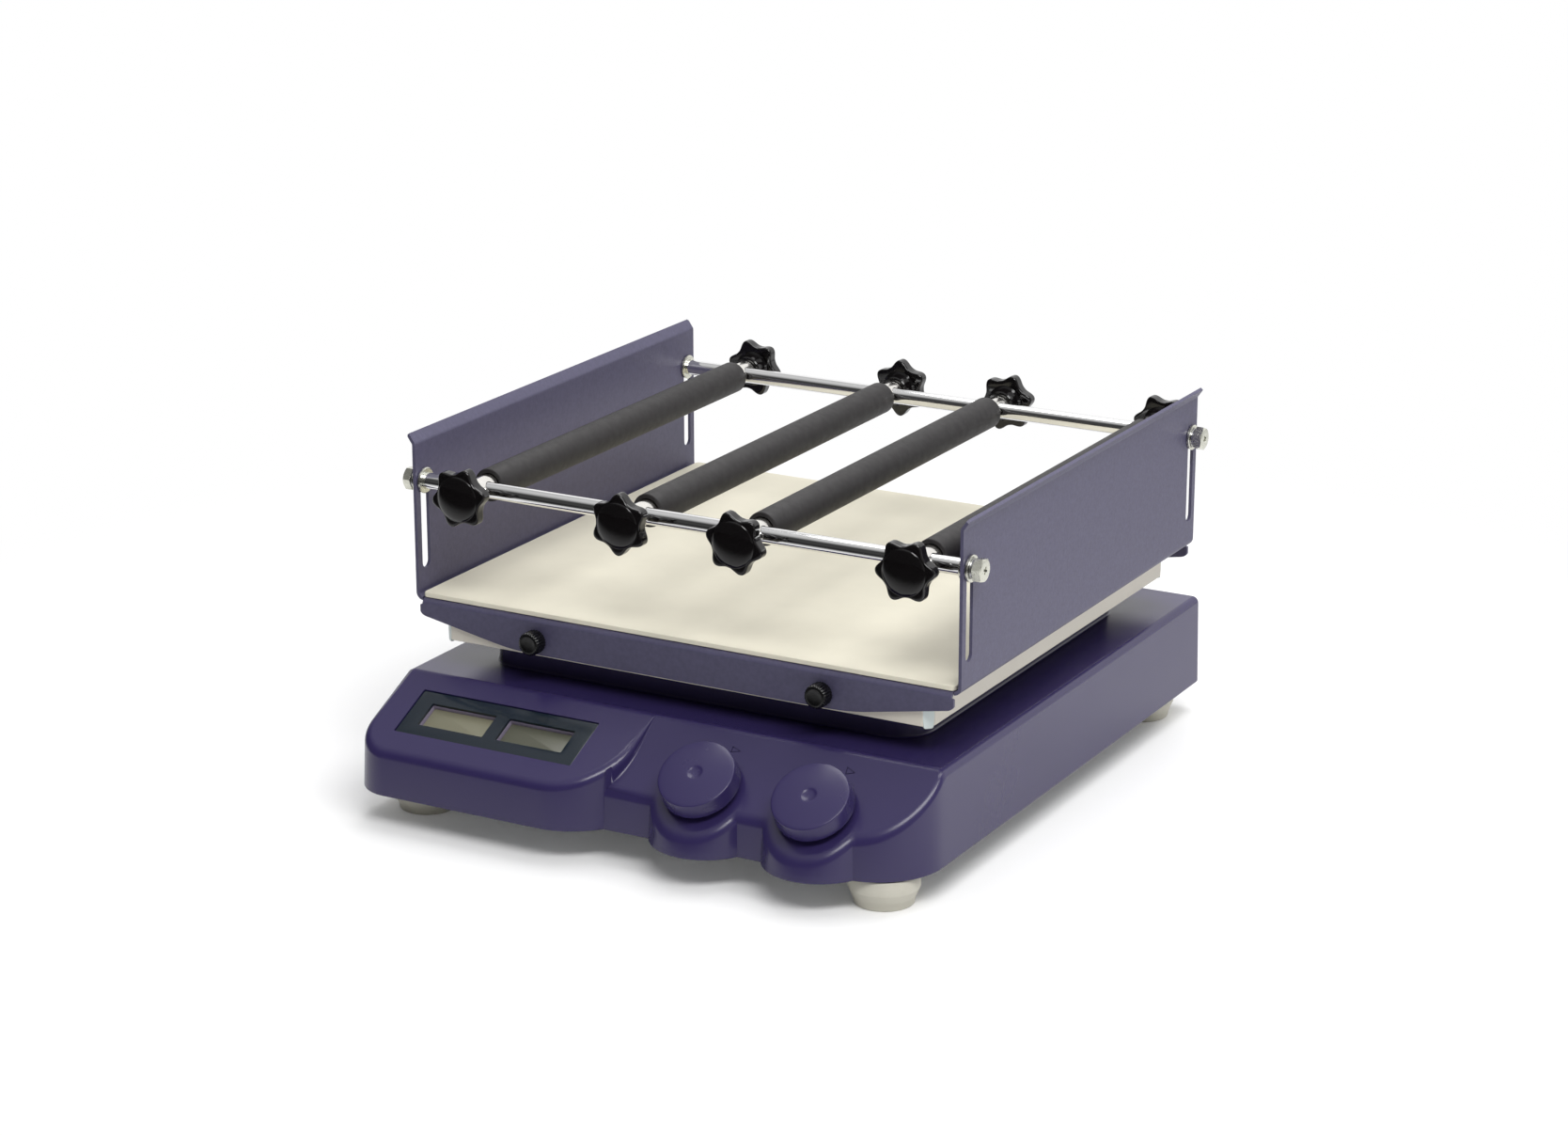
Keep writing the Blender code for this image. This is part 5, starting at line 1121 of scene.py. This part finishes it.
class Rule:
    """A geometry node tree with named sizes, written as short formulas."""

    def __init__(self, name, **sizes):
        self.tree = bpy.data.node_groups.new(name, "GeometryNodeTree")
        face = self.tree.interface
        face.new_socket("Geometry", in_out="OUTPUT", socket_type="NodeSocketGeometry")
        self.names = {}
        for label, value in sizes.items():
            kind = "NodeSocketInt" if isinstance(value, int) else "NodeSocketFloat"
            title = label.replace("_", " ").capitalize()
            socket = face.new_socket(title, in_out="INPUT", socket_type=kind)
            socket.default_value = value
            self.names[label] = socket.identifier
        inputs = self.node("NodeGroupInput")
        self.sizes = {label: inputs.outputs[i] for i, label in enumerate(sizes)}

    def node(self, kind):
        return self.tree.nodes.new(kind)

    def feed(self, socket, value):
        """Link another node's output to a socket, or set a plain value."""
        if isinstance(value, bpy.types.NodeSocket):
            self.tree.links.new(value, socket)
        else:
            socket.default_value = value

    def fed(self, kind, *values):
        """A new node whose first inputs take these values or outputs."""
        made = self.node(kind)
        for socket, value in zip(made.inputs, values):
            self.feed(socket, value)
        return made

    def math(self, operation, *values):
        made = self.fed("ShaderNodeMath", *values)
        made.operation = operation
        return made.outputs[0]

    def joined(self, *values):
        """One vector from three values."""
        return self.fed("ShaderNodeCombineXYZ", *values).outputs[0]

    def curves(self, share, view):
        """One curve, straight between its points, for each column after the first of a table."""
        made = []
        for column in range(1, len(view[0])):
            step = self.node("ShaderNodeFloatCurve")
            line = step.mapping.curves[0]
            while len(line.points) < len(view):
                line.points.new(0.5, 0.5)
            for spot, row in zip(line.points, view):
                spot.location = (row[0], row[column])
                spot.handle_type = "VECTOR"
            step.mapping.update()
            self.feed(step.inputs["Value"], share)
            made.append(step.outputs[0])
        return made

    def grid(self, columns, rows):
        """A grid, the turn round the axis in radians, and the share along it from 0 to 1."""
        mesh = self.fed("GeometryNodeMeshGrid", 1.0, 1.0, columns + 1, rows + 1)
        parts = self.fed("ShaderNodeSeparateXYZ", self.node("GeometryNodeInputPosition").outputs[0])
        around, along = [self.math("ADD", part, 0.5) for part in parts.outputs[:2]]
        return mesh.outputs[0], self.math("MULTIPLY", around, 2 * math.pi), along

    def wave(self, turn, count):
        """A wave round the axis with so many crests, from 0 to 1."""
        swing = self.math("COSINE", self.math("MULTIPLY", turn, count))
        return self.math("MULTIPLY", self.math("ADD", swing, 1.0), 0.5)

    def rolled(self, mesh, turn, radius, height, material):
        """Roll the grid round Z, close its seam and give it its finish."""
        x, y = [self.math("MULTIPLY", radius, self.math(kind, turn)) for kind in ("COSINE", "SINE")]
        move = self.fed("GeometryNodeSetPosition", mesh)
        self.feed(move.inputs["Position"], self.joined(x, y, height))
        merge = self.fed("GeometryNodeMergeByDistance", move.outputs[0])
        merge.inputs["Distance"].default_value = 0.000002
        self.finished(merge.outputs[0], material)

    def finished(self, geometry, material):
        """Give what the rule made its finish, and hand it out."""
        real = self.fed("GeometryNodeRealizeInstances", geometry)
        coat = self.fed("GeometryNodeSetMaterial", real.outputs[0])
        coat.inputs["Material"].default_value = material
        self.fed("NodeGroupOutput", coat.outputs[0])

    def made(self, name, place, **sizes):
        """The plain mesh that the rule makes with these sizes, put in place."""
        obj = bpy.data.objects.new(name, bpy.data.meshes.new(name))
        bpy.context.scene.collection.objects.link(obj)
        step = obj.modifiers.new("rule", "NODES")
        step.node_group = self.tree
        for label, value in sizes.items():
            step[self.names[label]] = value
        bake(obj)
        obj.data.transform(place)
        bm = bmesh.new()
        bm.from_mesh(obj.data)
        bmesh.ops.dissolve_degenerate(bm, edges=bm.edges, dist=1e-7)
        bmesh.ops.recalc_face_normals(bm, faces=bm.faces)
        bm.to_mesh(obj.data)
        bm.free()
        shade(obj.data, 40.0)
        return obj


print("node groups before the first rule:", len(bpy.data.node_groups))

# %% [markdown]
# The side view is a table. Each row is a share of the way from the foot to the middle of the top,
# then the share of the radius, of the lobes and of the thickness that the form has there.

# %% The star knob's rule
star = Rule("star_knob", lobes=6, valley_radius=0.0150, lobe_height=0.0040, thickness=0.0115)
STAR_VIEW = [(0, 0, 0, 0), (.10, .60, 0, .02), (.16, .90, .35, .02), (.20, .955, .80, .03),
             (.23, .985, .95, .07), (.26, 1, 1, .14), (.46, 1, 1, .57), (.49, .992, .97, .64),
             (.52, .975, .90, .685), (.55, .955, .72, .715), (.59, .94, .35, .725), (.62, .93, 0, .728),
             (.64, .92, 0, .735), (.66, .905, 0, .76), (.68, .875, 0, .788), (.72, .79, 0, .842),
             (.77, .66, 0, .894), (.82, .52, 0, .935), (.88, .36, 0, .969), (.94, .18, 0, .992),
             (1, 0, 0, 1)]
mesh, turn, along = star.grid(120, 54)
crest = star.math("POWER", star.wave(turn, star.sizes["lobes"]), 1.35)
lobe = star.math("MULTIPLY", crest, star.sizes["lobe_height"])
out_share, lobe_share, up_share = star.curves(along, STAR_VIEW)
body = star.math("MULTIPLY", out_share, star.sizes["valley_radius"])
radius = star.math("ADD", body, star.math("MULTIPLY", lobe, lobe_share))
star.rolled(mesh, turn, radius, star.math("MULTIPLY", up_share, star.sizes["thickness"]), BLACK)
print("nodes in the star knob's rule:", len(star.tree.nodes))

# %% [markdown]
# Each of the eight knobs has a turned hub that runs into the end of its bar. The knobs stand at
# different turns, as they do when somebody has tightened them by hand.

# %% Star knobs
HUB = 0.0072
for label, sy in (("front", -1), ("rear", 1)):
    for n, x in enumerate(BAR_X):
        number = label + "_" + str(n + 1)
        face = at(x, TRAY_Y + sy * CORE_HALF, ROD_Z, -90.0 * sy)
        spin = Matrix.Translation((0, 0, GAP + HUB)) @ Matrix.Rotation(0.31 * n + 0.2, 4, "Z")
        put(star.made("star_knob_head_" + number, face @ spin), "star_" + number, "star_knob_" + number)
        hub = [(0.0, -0.0045), (0.0030, -0.0045), (0.0030, GAP), (0.0088, GAP), (0.0095, GAP + 0.0007),
               (0.0098, GAP + 0.004), (0.0104, GAP + 0.0062), (0.0118, GAP + HUB - 0.0001),
               (0.0, GAP + HUB - 0.0001)]
        put(keep("star_knob_hub_" + number, turned(hub, 48, face), BLACK), "star_" + number)

# %% [markdown]
# The four thumb screws have a straight knurl, made by the same kind of rule: a saw of small ridges
# on the side that fades out at the rounded ends.

# %% Thumb screws
knurl = Rule("knurled_head", ridges=26, head_radius=0.0067, ridge_depth=0.0006, head_length=0.0102)
HEAD_VIEW = [(0, 0, 0, 0), (.14, .80, 0, 0), (.20, .97, .2, .04), (.26, 1, 1, .10), (.62, 1, 1, .86),
             (.68, .97, .4, .93), (.73, .90, 0, .975), (.78, .78, 0, .99), (.84, .68, 0, .985),
             (.90, .55, 0, .96), (1, 0, 0, .95)]
mesh, turn, along = knurl.grid(208, 22)
ridge = knurl.math("MULTIPLY", knurl.wave(turn, knurl.sizes["ridges"]), knurl.sizes["ridge_depth"])
out_share, ridge_share, up_share = knurl.curves(along, HEAD_VIEW)
body = knurl.math("MULTIPLY", out_share, knurl.sizes["head_radius"])
radius = knurl.math("ADD", body, knurl.math("MULTIPLY", ridge, ridge_share))
knurl.rolled(mesh, turn, radius, knurl.math("MULTIPLY", up_share, knurl.sizes["head_length"]), THUMB)
CORNERS = (("front_left", -1, -1), ("front_right", 1, -1), ("rear_left", -1, 1), ("rear_right", 1, 1))
APRON_OUT = FOLD_V + APRON_BEND + SHEET / 2
for label, sx, sy in CORNERS:
    face = at(sx * THUMB_X, TRAY_Y + sy * APRON_OUT, THUMB_Z, -90.0 * sy)
    head = knurl.made("thumb_head_" + label, face @ Matrix.Translation((0, 0, GAP)))
    put(head, "thumb_" + label, "thumb_screw_" + label)
    shank = [(0.0, -0.0086), (0.0020, -0.0086), (0.0025, -0.0081), (0.0025, GAP + 0.0005),
             (0.0, GAP + 0.0005)]
    put(keep("thumb_shank_" + label, turned(shank, 32, face), BRUSHED), "thumb_" + label)

# %% [markdown]
# ## Screws of the rods
# Each rod end is held by a hexagon screw with a cross recess, a split spring washer and a flat
# washer. The chamfer on a hexagon is a cone that cuts its six corners, which leaves the round arcs
# that everyone knows from bolt heads, so the height of every rim point is worked out from that cone.

# %% The hexagon
FLATS = 0.013
WASHER, SPRING = 0.0016, 0.0020
HEAD_FOOT = GAP + WASHER + SPRING
HEAD_TOP = HEAD_FOOT + 0.0056


def hexagon(height, shrink=0.0):
    """A ring of points on a hexagon; height(radius) gives the level of each."""
    ring = []
    for i in range(72):
        a = 2 * math.pi * i / 72
        r = (FLATS / 2 - shrink) / math.cos((a + math.pi / 6) % (math.pi / 3) - math.pi / 6)
        ring.append((r * math.cos(a), r * math.sin(a), height(r)))
    return ring


print("hexagon across its corners:", round(max(2 * r for _, _, r in hexagon(lambda r: r)), 5))

# %% [markdown]
# A spring washer is a square wire that makes nearly one turn and rises a little on the way, so its
# split shows as a small step. Its sections are placed round the turn and bridged like rings.

# %% Rod screws and washers
SPLIT, TURN, RISE = 8, 344, 0.00022
spring_low, spring_high = GAP + 0.00165, GAP + 0.00325
for label, sx, sy in CORNERS:
    face = at(sx * WALL_X, TRAY_Y + sy * ROD_OFFSET, ROD_Z, 90.0 * sx, "Y")
    tight = face @ Matrix.Rotation(0.35 + 0.9 * sx + 0.4 * sy, 4, "Z")
    cone = [hexagon(lambda r: HEAD_FOOT, 0.0002), hexagon(lambda r: HEAD_FOOT + 0.0002),
            hexagon(lambda r: HEAD_TOP - 0.0003 - (r - FLATS / 2) * 0.62),
            circle(FLATS / 2 - 0.0004, HEAD_TOP - 0.0001, 72), circle(FLATS / 2 - 0.0008, HEAD_TOP, 72)]
    head = keep("rod_screw_head_" + label, stack(cone, tight), ZINC, angle=30.0)
    shank = turned([(0.0030, -0.0138), (0.0030, HEAD_FOOT + 0.0005)], 32, face)
    carve(head, shank, join=True, angle=30.0)
    recess(head, tight, (20, 110), (0.0012, 0.00032, HEAD_TOP - 0.0022),
           (0.0026, 0.00076, HEAD_TOP + 0.0006), 30.0)
    put(head, "rods", "rod_screw_" + label)
    washer = [(0.0034, GAP), (0.0078, GAP), (0.0080, GAP + 0.0002), (0.0080, GAP + 0.0013),
              (0.0077, GAP + WASHER), (0.0034, GAP + WASHER)]
    put(keep("flat_washer_" + label, tube(washer, 64, face), ZINC, angle=30.0), "rods")
    wire = ((0.0036, spring_low), (0.0061, spring_low), (0.0061, spring_high), (0.0036, spring_high))
    coil = []
    for i in range(49):
        a = math.radians(SPLIT + TURN * i / 48)
        coil.append([(r * math.cos(a), r * math.sin(a), z + RISE * i / 48) for r, z in wire])
    put(keep("spring_washer_" + label, stack(coil, face), BRUSHED, angle=30.0), "rods")

# %% [markdown]
# ## Under and behind
# The machine stands on four tapered rubber feet. Each is one turned profile, with a small tread ring
# below and a lip where it meets the housing.

# %% Feet
FOOT_RADIUS = 0.021
FOOT_TOP = HOUSING_BOTTOM - GAP
tread = [(0.0, 0.0030), (0.0045, 0.0030), (0.0048, 0.0028), (0.0050, 0.0004), (0.0054, 0.0),
         (0.0140, 0.0), (0.0146, 0.0005), (0.0154, 0.0005), (0.0160, 0.0)]
tread += arc(0.0168, 0.0009, 0.0009, -90, -12, 5)
flank = [(0.0184, 0.0046), (0.0187, 0.0048), (0.0189, 0.0052), (0.0206, 0.0096)]
flank += arc(0.0199, 0.0104, 0.0011, -15, 0, 2)
flank += [(FOOT_RADIUS, FOOT_TOP - 0.0010), (FOOT_RADIUS - 0.0008, FOOT_TOP), (0.0, FOOT_TOP)]
for label, sx, sy in CORNERS:
    y = FRONT_Y + 0.0254 if sy < 0 else REAR_Y - 0.0297
    foot = turned(tread + flank, 96, at(sx * (HALF_WIDTH - 0.029), y, 0.0))
    put(keep("rubber_foot_" + label, foot, FOOT, angle=50.0), "base", "foot_" + label)

# %% [markdown]
# The base plate closes the housing from below and has rows of air slots for the motor. They are cut
# by a grid of rounded bars that a second small rule sets out.

# %% Base plate with air slots
plan = [(x, y) for x, y, tilt in cover_plan(0.0045, DISPLAY_LOBE - 0.0042, 16)]
plate = keep("bottom_plate", prism(plan[::-1], HOUSING_BOTTOM, HOUSING_BOTTOM + SHEET), GALVANISED,
             angle=30.0)
vents = Rule("vent_bars", columns=4, rows=9, column_gap=0.042, row_gap=0.009, bar_length=0.032,
             bar_width=0.004)
mesh = vents.node("GeometryNodeMeshGrid")
for axis, count, gap in (("X", "columns", "column_gap"), ("Y", "rows", "row_gap")):
    vents.feed(mesh.inputs["Vertices " + axis], vents.sizes[count])
    gaps = vents.math("SUBTRACT", vents.sizes[count], 1.0)
    vents.feed(mesh.inputs["Size " + axis], vents.math("MULTIPLY", gaps, vents.sizes[gap]))
bar = vents.node("GeometryNodeMeshCube")
vents.feed(bar.inputs["Size"], vents.joined(vents.sizes["bar_length"], vents.sizes["bar_width"], 0.012))
spots = vents.node("GeometryNodeInstanceOnPoints")
vents.feed(spots.inputs["Points"], mesh.outputs["Mesh"])
vents.feed(spots.inputs["Instance"], bar.outputs["Mesh"])
vents.finished(spots.outputs[0], GALVANISED)
for name, x, y in (("left", -0.075, DRIVE_Y + 0.005), ("right", 0.085, DRIVE_Y + 0.055)):
    cutter = vents.made("vent_" + name, Matrix.Translation((x, y, HOUSING_BOTTOM)), columns=2)
    ends = cutter.modifiers.new("ends", "BEVEL")
    ends.width = 0.0018
    ends.segments = 4
    ends.affect = "EDGES"
    ends.limit_method = "ANGLE"
    carve(plate, bake(cutter), angle=30.0)
put(soften(plate, 0.0003), "base", "base_plate")

# %% [markdown]
# Four domed screws with cross recesses hold the housing to the base plate. Each is turned to another
# angle, since nobody lines them up.

# %% Cover screws
for i, (_, sx, sy) in enumerate(CORNERS):
    y = CREASE_Y + 0.0479 if sy < 0 else REAR_Y - 0.0659
    under = at(sx * (HALF_WIDTH - 0.019), y, HOUSING_BOTTOM, 180.0)
    dome = [(0.0, -0.0015), (0.0015, -0.0015), (0.0015, 0.0002), (0.0034, 0.0002), (0.0036, 0.0007),
            (0.0031, 0.0015), (0.0021, 0.0021), (0.0010, 0.0024), (0.0, 0.0025)]
    screw = keep("cover_screw_" + str(i + 1), turned(dome, 32, under), ZINC, angle=40.0)
    recess(screw, under, (30 + 25 * i, 120 + 25 * i), (0.0008, 0.0002, 0.0010),
           (0.0013, 0.0003, 0.0032), 40.0)
    put(screw, "base")

# %% [markdown]
# At the back are the mains inlet and the power switch. Their flanges stand proud of the housing, and
# the mouth of each is cut by a prism that widens at the top, which leaves a small chamfer.

# %% Mains inlet
EAR_X = 0.020


def mouth(width, height, corner, steps, low, chamfer, x):
    """The cutter for an opening with a chamfer round its upper edge."""
    levels = ((0.0, low), (0.0, 0.0012), (2 * chamfer, 0.0019), (2 * chamfer, 0.004))
    return stack([[(a, b, z) for a, b in rounded(width + wide, height + wide, corner, steps, x)]
                  for wide, z in levels], ENTRY)


flange = soft_prism(lambda e: rounded(0.050 - 2 * e, 0.027 - 2 * e, 0.003 - e, 8, INLET_X),
                    GAP, 0.0018, 0.0006, 4, ENTRY)
inlet = keep("inlet_flange", flange, INLET)
carve(inlet, prism(rounded(0.028, 0.0205, 0.0025, 8, INLET_X), -0.020, 0.0008, ENTRY), join=True)
carve(inlet, mouth(0.0245, 0.0170, 0.0020, 6, -0.0165, 0.0006, INLET_X))
for sx in ENDS:
    spot = ENTRY @ Matrix.Translation((INLET_X + sx * EAR_X, 0, 0))
    carve(inlet, turned([(0.0017, -0.001), (0.0017, 0.0006), (0.0033, 0.0022)], 32, spot))
put(flatten(inlet), "base", "power_inlet")

# %% [markdown]
# Two countersunk screws hold the inlet, and its three blades sit deep in the socket with their tips
# tapered, as a real one has them to guide the plug.

# %% Inlet screws and blades
for side, sx in (("left", -1), ("right", 1)):
    spot = ENTRY @ Matrix.Translation((INLET_X + sx * EAR_X, 0, 0))
    top = [(0.0, 0.0002), (0.0014, 0.0002), (0.0014, 0.0006), (0.0030, 0.0019), (0.0026, 0.0021),
           (0.0013, 0.0023), (0.0, 0.00235)]
    screw = keep("inlet_screw_" + side, turned(top, 32, spot), ZINC, angle=40.0)
    recess(screw, spot, (15 + 20 * sx, 105 + 20 * sx), (0.0013, 0.00025, 0.0014),
           (0.0013, 0.00025, 0.004), 40.0)
    put(screw, "base")
for i, (x, y) in enumerate(((-0.007, -0.002), (0.0, 0.002), (0.007, -0.002)), 1):
    sizes = ((0.002, 0.004, -0.0166), (0.002, 0.004, -0.0132), (0.0011, 0.0031, -0.0122))
    rings = [[(a, b, z) for a, b in rounded(w, h, 0.0004, 3, INLET_X + x, y)] for w, h, z in sizes]
    put(keep("inlet_blade_" + str(i), stack(rings, ENTRY), BRASS), "base")

# %% [markdown]
# The switch is a frame with a rocker in it. The rocker is drawn in side view, with a shallow dish to
# find it by touch, and is tilted as it stands when the machine is off.

# %% Switch and rocker
form = soft_prism(lambda e: rounded(0.030 - 2 * e, 0.022 - 2 * e, 0.002 - e, 8, SWITCH_X),
                  GAP, 0.0018, 0.0007, 4, ENTRY)
bezel = keep("switch_frame", form, INLET)
carve(bezel, prism(rounded(0.0225, 0.0165, 0.001, 4, SWITCH_X), -0.016, 0.0008, ENTRY), join=True)
carve(bezel, mouth(0.020, 0.0138, 0.0006, 4, -0.012, 0.0004, SWITCH_X))
put(flatten(bezel), "base", "switch_bezel")
WING = 0.0095
DISH = 0.0011
side_view = [(-WING, 0.0040), (-WING + 0.0003, 0.0046), (-WING + 0.0010, 0.0047)]
for i in range(1, 12):
    x = -WING + 0.0010 + (2 * WING - 0.0020) * i / 12
    side_view.append((x, 0.0047 - DISH * math.sin(math.pi * i / 12)))
side_view += [(WING - 0.0010, 0.0047), (WING - 0.0003, 0.0046), (WING, 0.0040),
              (WING * 0.62, -0.0035), (-WING * 0.62, -0.0035)]
seat = ENTRY @ at(SWITCH_X, 0.0, -0.0045, 90.0) @ Matrix.Rotation(math.radians(-6.0), 4, "Z")
rocker = keep("switch_rocker", prism(side_view, -0.0065, 0.0065, seat), INLET)
put(soften(rocker, 0.0003, 3), "power_rocker", "power_rocker")

# %% [markdown]
# ## The drive inside
# The pieces inside the housing keep the model's own meshes, since nobody sees them but the
# mechanic. Each still gets its own finish: the coupling parts are machined, the frame and the big
# pulley are cast, and the belt is rubber.

# %% Finishes of the inner pieces
MACHINED = ["main_bearing", "pin_bearing", "motor_pulley", "crank_shaft", "speed_encoder",
            "time_encoder", "speed_plunger", "time_plunger"]
MACHINED += ["idler_crank_" + label for label, _, _ in CORNERS]
INNER = {"drive_frame": CAST, "driven_pulley": CAST, "drive_belt": BELT, "drive_motor": INLET,
         "control_board": BOARD, "power_supply": BOARD, **dict.fromkeys(MACHINED, BRUSHED)}
for name, material in INNER.items():
    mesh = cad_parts[name].data
    mesh.materials.clear()
    mesh.materials.append(material)
print("inner pieces:", len(INNER))

# %% [markdown]
# ## The studio
# The photograph shows the machine on pure white with only a soft shadow round its base. The floor is
# a white sheet that keeps the shadow near the machine and, for the camera alone, goes over into
# plain white further out. In front of the machine the sheet ends and the room is dark, which is why
# the star knobs and the undersides of the chromed rods look black in the photograph.

# %% Helpers for the studio's shaders


def ramp(tree, value, low, high, end=1.0):
    """From 0 at low to end at high, without a kink."""
    made = node(tree, "ShaderNodeMapRange", From_Min=low, From_Max=high, To_Min=0.0, To_Max=end)
    made.interpolation_type = "SMOOTHSTEP"
    tree.links.new(value, made.inputs["Value"])
    return made.outputs[0]


def fed(tree, kind, *sources):
    """A new node whose first inputs come from these outputs."""
    made = node(tree, kind)
    for source, target in zip(sources, made.inputs):
        tree.links.new(source, target)
    return made


def mixed(tree, share, one, two):
    return fed(tree, "ShaderNodeMixShader", share, one, two).outputs[0]


def maths(tree, operation, one, two):
    made = fed(tree, "ShaderNodeMath", one, two)
    made.operation = operation
    return made.outputs[0]


def diffuse(tree, level):
    return node(tree, "ShaderNodeBsdfDiffuse", Color=(level, level, level, 1.0)).outputs[0]


print("materials of the machine:", len(bpy.data.materials))

# %% [markdown]
# The sheet answers each kind of ray in its own way. The camera sees it go over into white, polished
# parts see where it ends, and all other light meets one plain white sheet.

# %% Floor
sheet_mesh = bmesh.new()
bmesh.ops.create_grid(sheet_mesh, x_segments=2, y_segments=2, size=6.0)
paper = bpy.data.materials.new("studio_sheet")
paper.use_nodes = True
tree = paper.node_tree
tree.nodes.clear()
place = node(tree, "ShaderNodeTexCoord").outputs["Object"]
away = fed(tree, "ShaderNodeVectorMath", place)
away.operation = "LENGTH"
_, along, _ = fed(tree, "ShaderNodeSeparateXYZ", place).outputs
sheet = diffuse(tree, 0.94)
lift = node(tree, "ShaderNodeEmission", Strength=0.05).outputs[0]
white = node(tree, "ShaderNodeEmission", Strength=1.0).outputs[0]
lifted = fed(tree, "ShaderNodeAddShader", sheet, lift).outputs[0]
far = ramp(tree, away.outputs["Value"], 0.42, 0.75)
for_camera = mixed(tree, far, lifted, white)
sheet_end = ramp(tree, along, -0.20, -0.55)
for_mirror = mixed(tree, sheet_end, diffuse(tree, 0.83), diffuse(tree, 0.03))
rays = node(tree, "ShaderNodeLightPath").outputs
seen = mixed(tree, rays["Is Glossy Ray"], sheet, for_mirror)
seen = mixed(tree, rays["Is Camera Ray"], seen, for_camera)
fed(tree, "ShaderNodeOutputMaterial", seen)
floor = keep("studio_floor", sheet_mesh, paper)
print("floor size:", [round(v, 2) for v in floor.dimensions])

# %% [markdown]
# The world is bright above, behind and at the right, and dim in front, like a studio with a lit
# backdrop. The camera itself sees plain white.

# %% World
world = bpy.data.worlds.new("studio")
bpy.context.scene.world = world
world.use_nodes = True
tree = world.node_tree
tree.nodes.clear()
toward = node(tree, "ShaderNodeTexCoord").outputs["Generated"]
to_right, to_rear, up = fed(tree, "ShaderNodeSeparateXYZ", toward).outputs
behind = ramp(tree, to_rear, 0.15, 0.75)
above = ramp(tree, up, 0.50, 0.92, 0.60)
right = ramp(tree, to_right, 0.35, 0.90, 0.30)
total = maths(tree, "MAXIMUM", maths(tree, "MAXIMUM", behind, above), right)
glow = fed(tree, "ShaderNodeMath", total)
glow.inputs[1].default_value = 0.05
air = node(tree, "ShaderNodeBackground", Color=(1.0, 1.0, 1.0, 1.0))
tree.links.new(glow.outputs[0], air.inputs["Strength"])
back = node(tree, "ShaderNodeBackground", Color=(1.0, 1.0, 1.0, 1.0), Strength=1.0)
rays = node(tree, "ShaderNodeLightPath").outputs
seen = mixed(tree, rays["Is Camera Ray"], air.outputs[0], back.outputs[0])
fed(tree, "ShaderNodeOutputWorld", seen)
print("nodes in the world:", len(tree.nodes))

# %% [markdown]
# Two large lamps add soft direction: one above and behind, which shades the knob faces, and one in
# front at the right, which draws the bright lines along the rounded lobes. Their strength is kept so
# that a colour comes out about as it is written.

# %% Lamps


def lamp(name, place, aim, size, power):
    light = bpy.data.lights.new(name, "AREA")
    light.shape = "RECTANGLE"
    light.size, light.size_y = size
    light.energy = power
    obj = bpy.data.objects.new(name, light)
    obj.location = place
    obj.rotation_euler = (Vector(aim) - Vector(place)).to_track_quat("-Z", "Y").to_euler()
    bpy.context.scene.collection.objects.link(obj)


lamp("lamp_over", (0.0, 0.5, 1.6), (0, 0, 0), (1.4, 1.0), 15)
lamp("lamp_right", (0.75, -0.75, 1.4), (0, 0, 0.1), (1.3, 0.5), 16)
bpy.context.scene.view_settings.view_transform = "Standard"
print("lamps:", len(bpy.data.lights))
